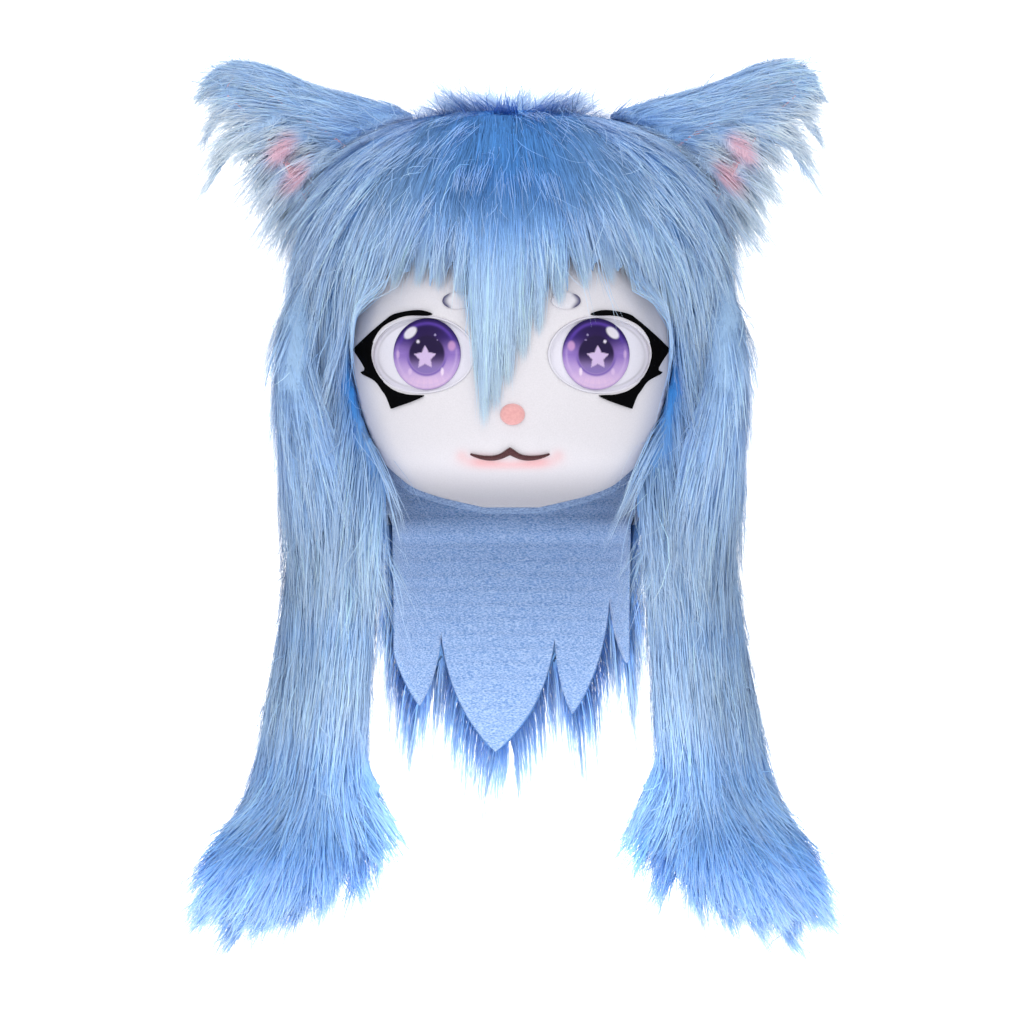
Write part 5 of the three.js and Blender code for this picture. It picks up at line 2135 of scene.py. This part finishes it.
@dataclass
class NapeCape:
    """The cape's knit wall, cut in leaf-shaped lobes; sizes in millimetres."""

    length: float = 187.0
    wall: float = 2.0
    half_width: float = 103.0
    hem_z: float = -300.3
    hood_half_width: float = 137.0
    hood_back: float = 135.0
    spread: float = 75.0
    reach: float = 1.12
    rise: float = 55.0
    tuck: float = 3.5
    flare: tuple = (24.0, 13.5)
    spacing: float = 4.0
    # Of each lobe, in shares of the half width and the length: its tip's X and drop, the next slit's
    lobes: tuple = (
        (-0.74, 0.79, -0.57, 0.47),
        (-0.13, 1.0, 0.35, 0.5),
        (0.49, 0.83, 0.79, 0.31),
        (0.92, 0.6, 1.1, 0.3),
    )
    start: tuple = (-1.02, 0.3)
    bulge: tuple = (0.15, 0.62)

    def cut_point(self, x: float, drop: float) -> Array:
        """Gives a point of the lobed cut from its shares of the cape's half width and length."""
        return np.array([x * self.half_width, self.hem_z - 0.3 - self.length * drop])

    def cut_edge(self, start: Array, control: Array, end: Array) -> list[Array]:
        """Curves one edge of a lobe from its start, drawn towards a control point, up to its end."""
        shares = np.linspace(0, 1, 14, endpoint=False)
        return [start * (1 - t) ** 2 + control * 2 * t * (1 - t) + end * t * t for t in shares]

    def outline(self) -> Array:
        """Gives the cape's outline as seen from the front.

        Returns:
            Its corners in X and Z, in millimetres.
        """
        across, down = self.bulge
        limit = self.hood_half_width * 0.73 * math.sin(math.radians(self.spread))
        corners = ((1, 0.0), (1, 1.0), (-1, 1.0), (-1, 0.0))
        points = [
            np.array([side * (limit + self.flare[0] * share * 0.9), self.hem_z + self.rise * share])
            for side, share in corners
        ]
        here = self.start
        for tip_x, tip_drop, *slit in self.lobes:
            tip = self.cut_point(tip_x, tip_drop)
            for (x, drop), falls in ((here, True), (slit, False)):
                control = self.cut_point(x + (tip_x - x) * across, drop + (tip_drop - drop) * down)
                end = self.cut_point(x, drop)
                points += self.cut_edge(end, control, tip) if falls else self.cut_edge(tip, control, end)
            here = slit
        outline = np.array(points)
        outline[4:, 0] = np.clip(outline[4:, 0], -limit, limit)
        keep = np.linalg.norm(outline - np.roll(outline, 1, 0), axis=1) > 0.05
        return outline[keep]

    def lower_edge(self) -> Array:
        """Gives the lobes' edge as seen from the front, from left to right."""
        edge = np.array([point for point in self.outline() if point[1] < self.hem_z - 20])
        return edge[np.argsort(edge[:, 0], kind="stable")]

    def developed(self, outline: Array) -> Array:
        """Lays the bent outline flat: across it, each point keeps its distance round the nape.

        Args:
            outline: The outline as seen from the front.

        Returns:
            The flat cut, in millimetres.
        """
        half = self.hood_half_width * 0.76
        back = self.hood_back * 0.77
        x = np.linspace(-0.999, 0.999, 400) * half
        y = back * np.sqrt(1 - (x / half) ** 2)
        arc = np.concatenate([[0], np.cumsum(np.hypot(np.diff(x), np.diff(y)))])
        across = np.interp(outline[:, 0], x, arc - arc[-1] / 2)
        return np.stack([across, outline[:, 1]], 1)

    def hang(self, flat: Array, outward: float) -> Array:
        """Bends flat points round the nape.

        Args:
            flat: Points in X and Z as seen from the front, in millimetres.
            outward: How far outside the cape's inner face they lie.

        Returns:
            The points in metres.
        """
        drop = np.maximum(self.hem_z - flat[:, 1], 0) / (self.length * self.reach)
        risen = np.maximum(flat[:, 1] - self.hem_z, 0) / self.rise
        inward = self.tuck * ease(self.hem_z - 18, self.hem_z, flat[:, 1])
        half = self.hood_half_width * (0.73 + 0.07 * drop) + outward - inward + self.flare[0] * risen
        back = self.hood_back * (0.81 - 0.09 * drop) + outward - inward + self.flare[1] * risen
        y = back * np.sqrt(np.clip(1 - (flat[:, 0] / half) ** 2, 0, 1))
        return np.stack([flat[:, 0], y, flat[:, 1]], 1) * MM

    def build(self) -> None:
        flat, faces = fill_outline(self.outline(), [], self.spacing)
        points, walls = thicken(self.hang(flat, 0.1), patch(flat, faces), -(self.wall - 0.2) * MM)
        piece = add_piece("cape_knit", mesh_from(points, walls), "knit")
        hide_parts("nape_cape")
        cut = self.developed(self.outline()) * MM


@dataclass
class Studio:
    """The pale paper, the soft lights and the camera."""

    photo_scale: float = 0.8
    photo_size: int = 1024
    centre: tuple = (0.4, -60.0, -289.6)
    distance: float = 5.0
    floor_z: float = -0.74
    paper_back: float = 7.5
    paper_bend: float = 2.5
    paper_half_width: float = 9.0
    paper_height: float = 8.0
    room_light: float = 0.7
    sensor: float = 36.0
    # Of each lamp: its name, its place and aim in metres, its width and its power in watts
    lamps: tuple = (
        ("key", (-1.0, -2.6, 1.3), (0.0, 0.0, -0.25), 1.6, 23.0),
        ("fill", (1.4, -2.6, 0.7), (0.0, 0.0, -0.25), 2.0, 12.0),
        ("top", (0.0, -0.4, 2.2), (0.0, 0.0, -0.25), 1.8, 15.0),
        ("neck", (0.0, -0.1, -0.52), (0.0, 0.1, -0.33), 0.2, 0.34),
        ("paper", (0.0, 3.6, 1.6), (0.0, 7.0, -0.4), 3.0, 130.0),
        ("floor", (0.0, 3.0, 1.6), (0.0, 3.0, -0.74), 4.0, 110.0),
    )

    def build_paper(self) -> None:
        """Builds the paper: a floor that sweeps up behind the head."""
        bend, flat_end = self.paper_bend, self.paper_back - self.paper_bend
        turns = np.linspace(0, math.pi / 2, 24)[1:]
        profile = [(-self.paper_back, 0.0), (flat_end, 0.0)]
        profile += [(flat_end + bend * math.sin(turn), bend - bend * math.cos(turn)) for turn in turns]
        profile.append((self.paper_back, self.paper_height))
        half = self.paper_half_width
        points = [(x, y, z + self.floor_z) for y, z in profile for x in (-half, half)]
        faces = [(2 * i, 2 * i + 1, 2 * i + 3, 2 * i + 2) for i in range(len(profile) - 1)]
        mesh = mesh_from(np.array(points), faces)
        paper = add_plain("studio_paper", mesh)
        assign(paper, "paper")

    def build_lights(self) -> None:
        """Adds the room's light, three soft lamps on the head, a weak one under it and two on the paper."""
        world = bpy.data.worlds.new("room")
        bpy.context.scene.world = world
        world.use_nodes = True
        room = world.node_tree.nodes["Background"]
        room.inputs["Color"].default_value = (1.0, 1.0, 1.0, 1)
        room.inputs["Strength"].default_value = self.room_light
        for name, place, goal, size, power in self.lamps:
            light = bpy.data.lights.new(name, "AREA")
            light.size = size
            light.energy = power
            lamp = bpy.data.objects.new(name, light)
            lamp.location = place
            lamp.rotation_euler = (Vector(goal) - Vector(place)).to_track_quat("-Z", "Y").to_euler()
            lamp.visible_camera = False
            bpy.context.scene.collection.objects.link(lamp)

    def build_camera(self) -> None:
        """Adds the camera straight in front, framed as the photograph is."""
        data = bpy.data.cameras.new("camera")
        data.sensor_width = self.sensor
        data.lens = self.sensor * self.distance / (self.photo_size * self.photo_scale * MM)
        data.clip_end = 60.0
        camera = bpy.data.objects.new("camera", data)
        x, y, z = (value * MM for value in self.centre)
        camera.location = (x, y - self.distance, z)
        camera.rotation_euler = (math.pi / 2, 0, 0)
        bpy.context.scene.collection.objects.link(camera)
        bpy.context.scene.camera = camera

    def build(self) -> None:
        """Builds the studio."""
        bpy.context.scene.view_settings.view_transform = "Standard"
        self.build_paper()
        self.build_lights()
        self.build_camera()


def main() -> None:
    """Builds the head piece by piece around the frame."""
    logging.basicConfig(level=logging.INFO, format="%(name)s: %(message)s")
    Studio().build()
    form = HeadForm()
    mask = FaceMask(form)
    skin = mask.build()
    for side in Side:
        eye = Eye(side, form, mask)
        eye.build_cup()
        eye.build_iris()
    FaceTrim(form, mask).build()
    # The hood's cloth takes the darker knit as painted shade
    assign(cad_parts["hood_cloth"], "knit_shade")
    NapeCape().build()
    parting = Parting(form)
    coat = HoodFur(parting).build()
    Bangs(form).build([coat, skin])
    for side in Side:
        Ear(side).build()
        SideHair(side, parting).build()


if __name__ == "__main__":
    main()
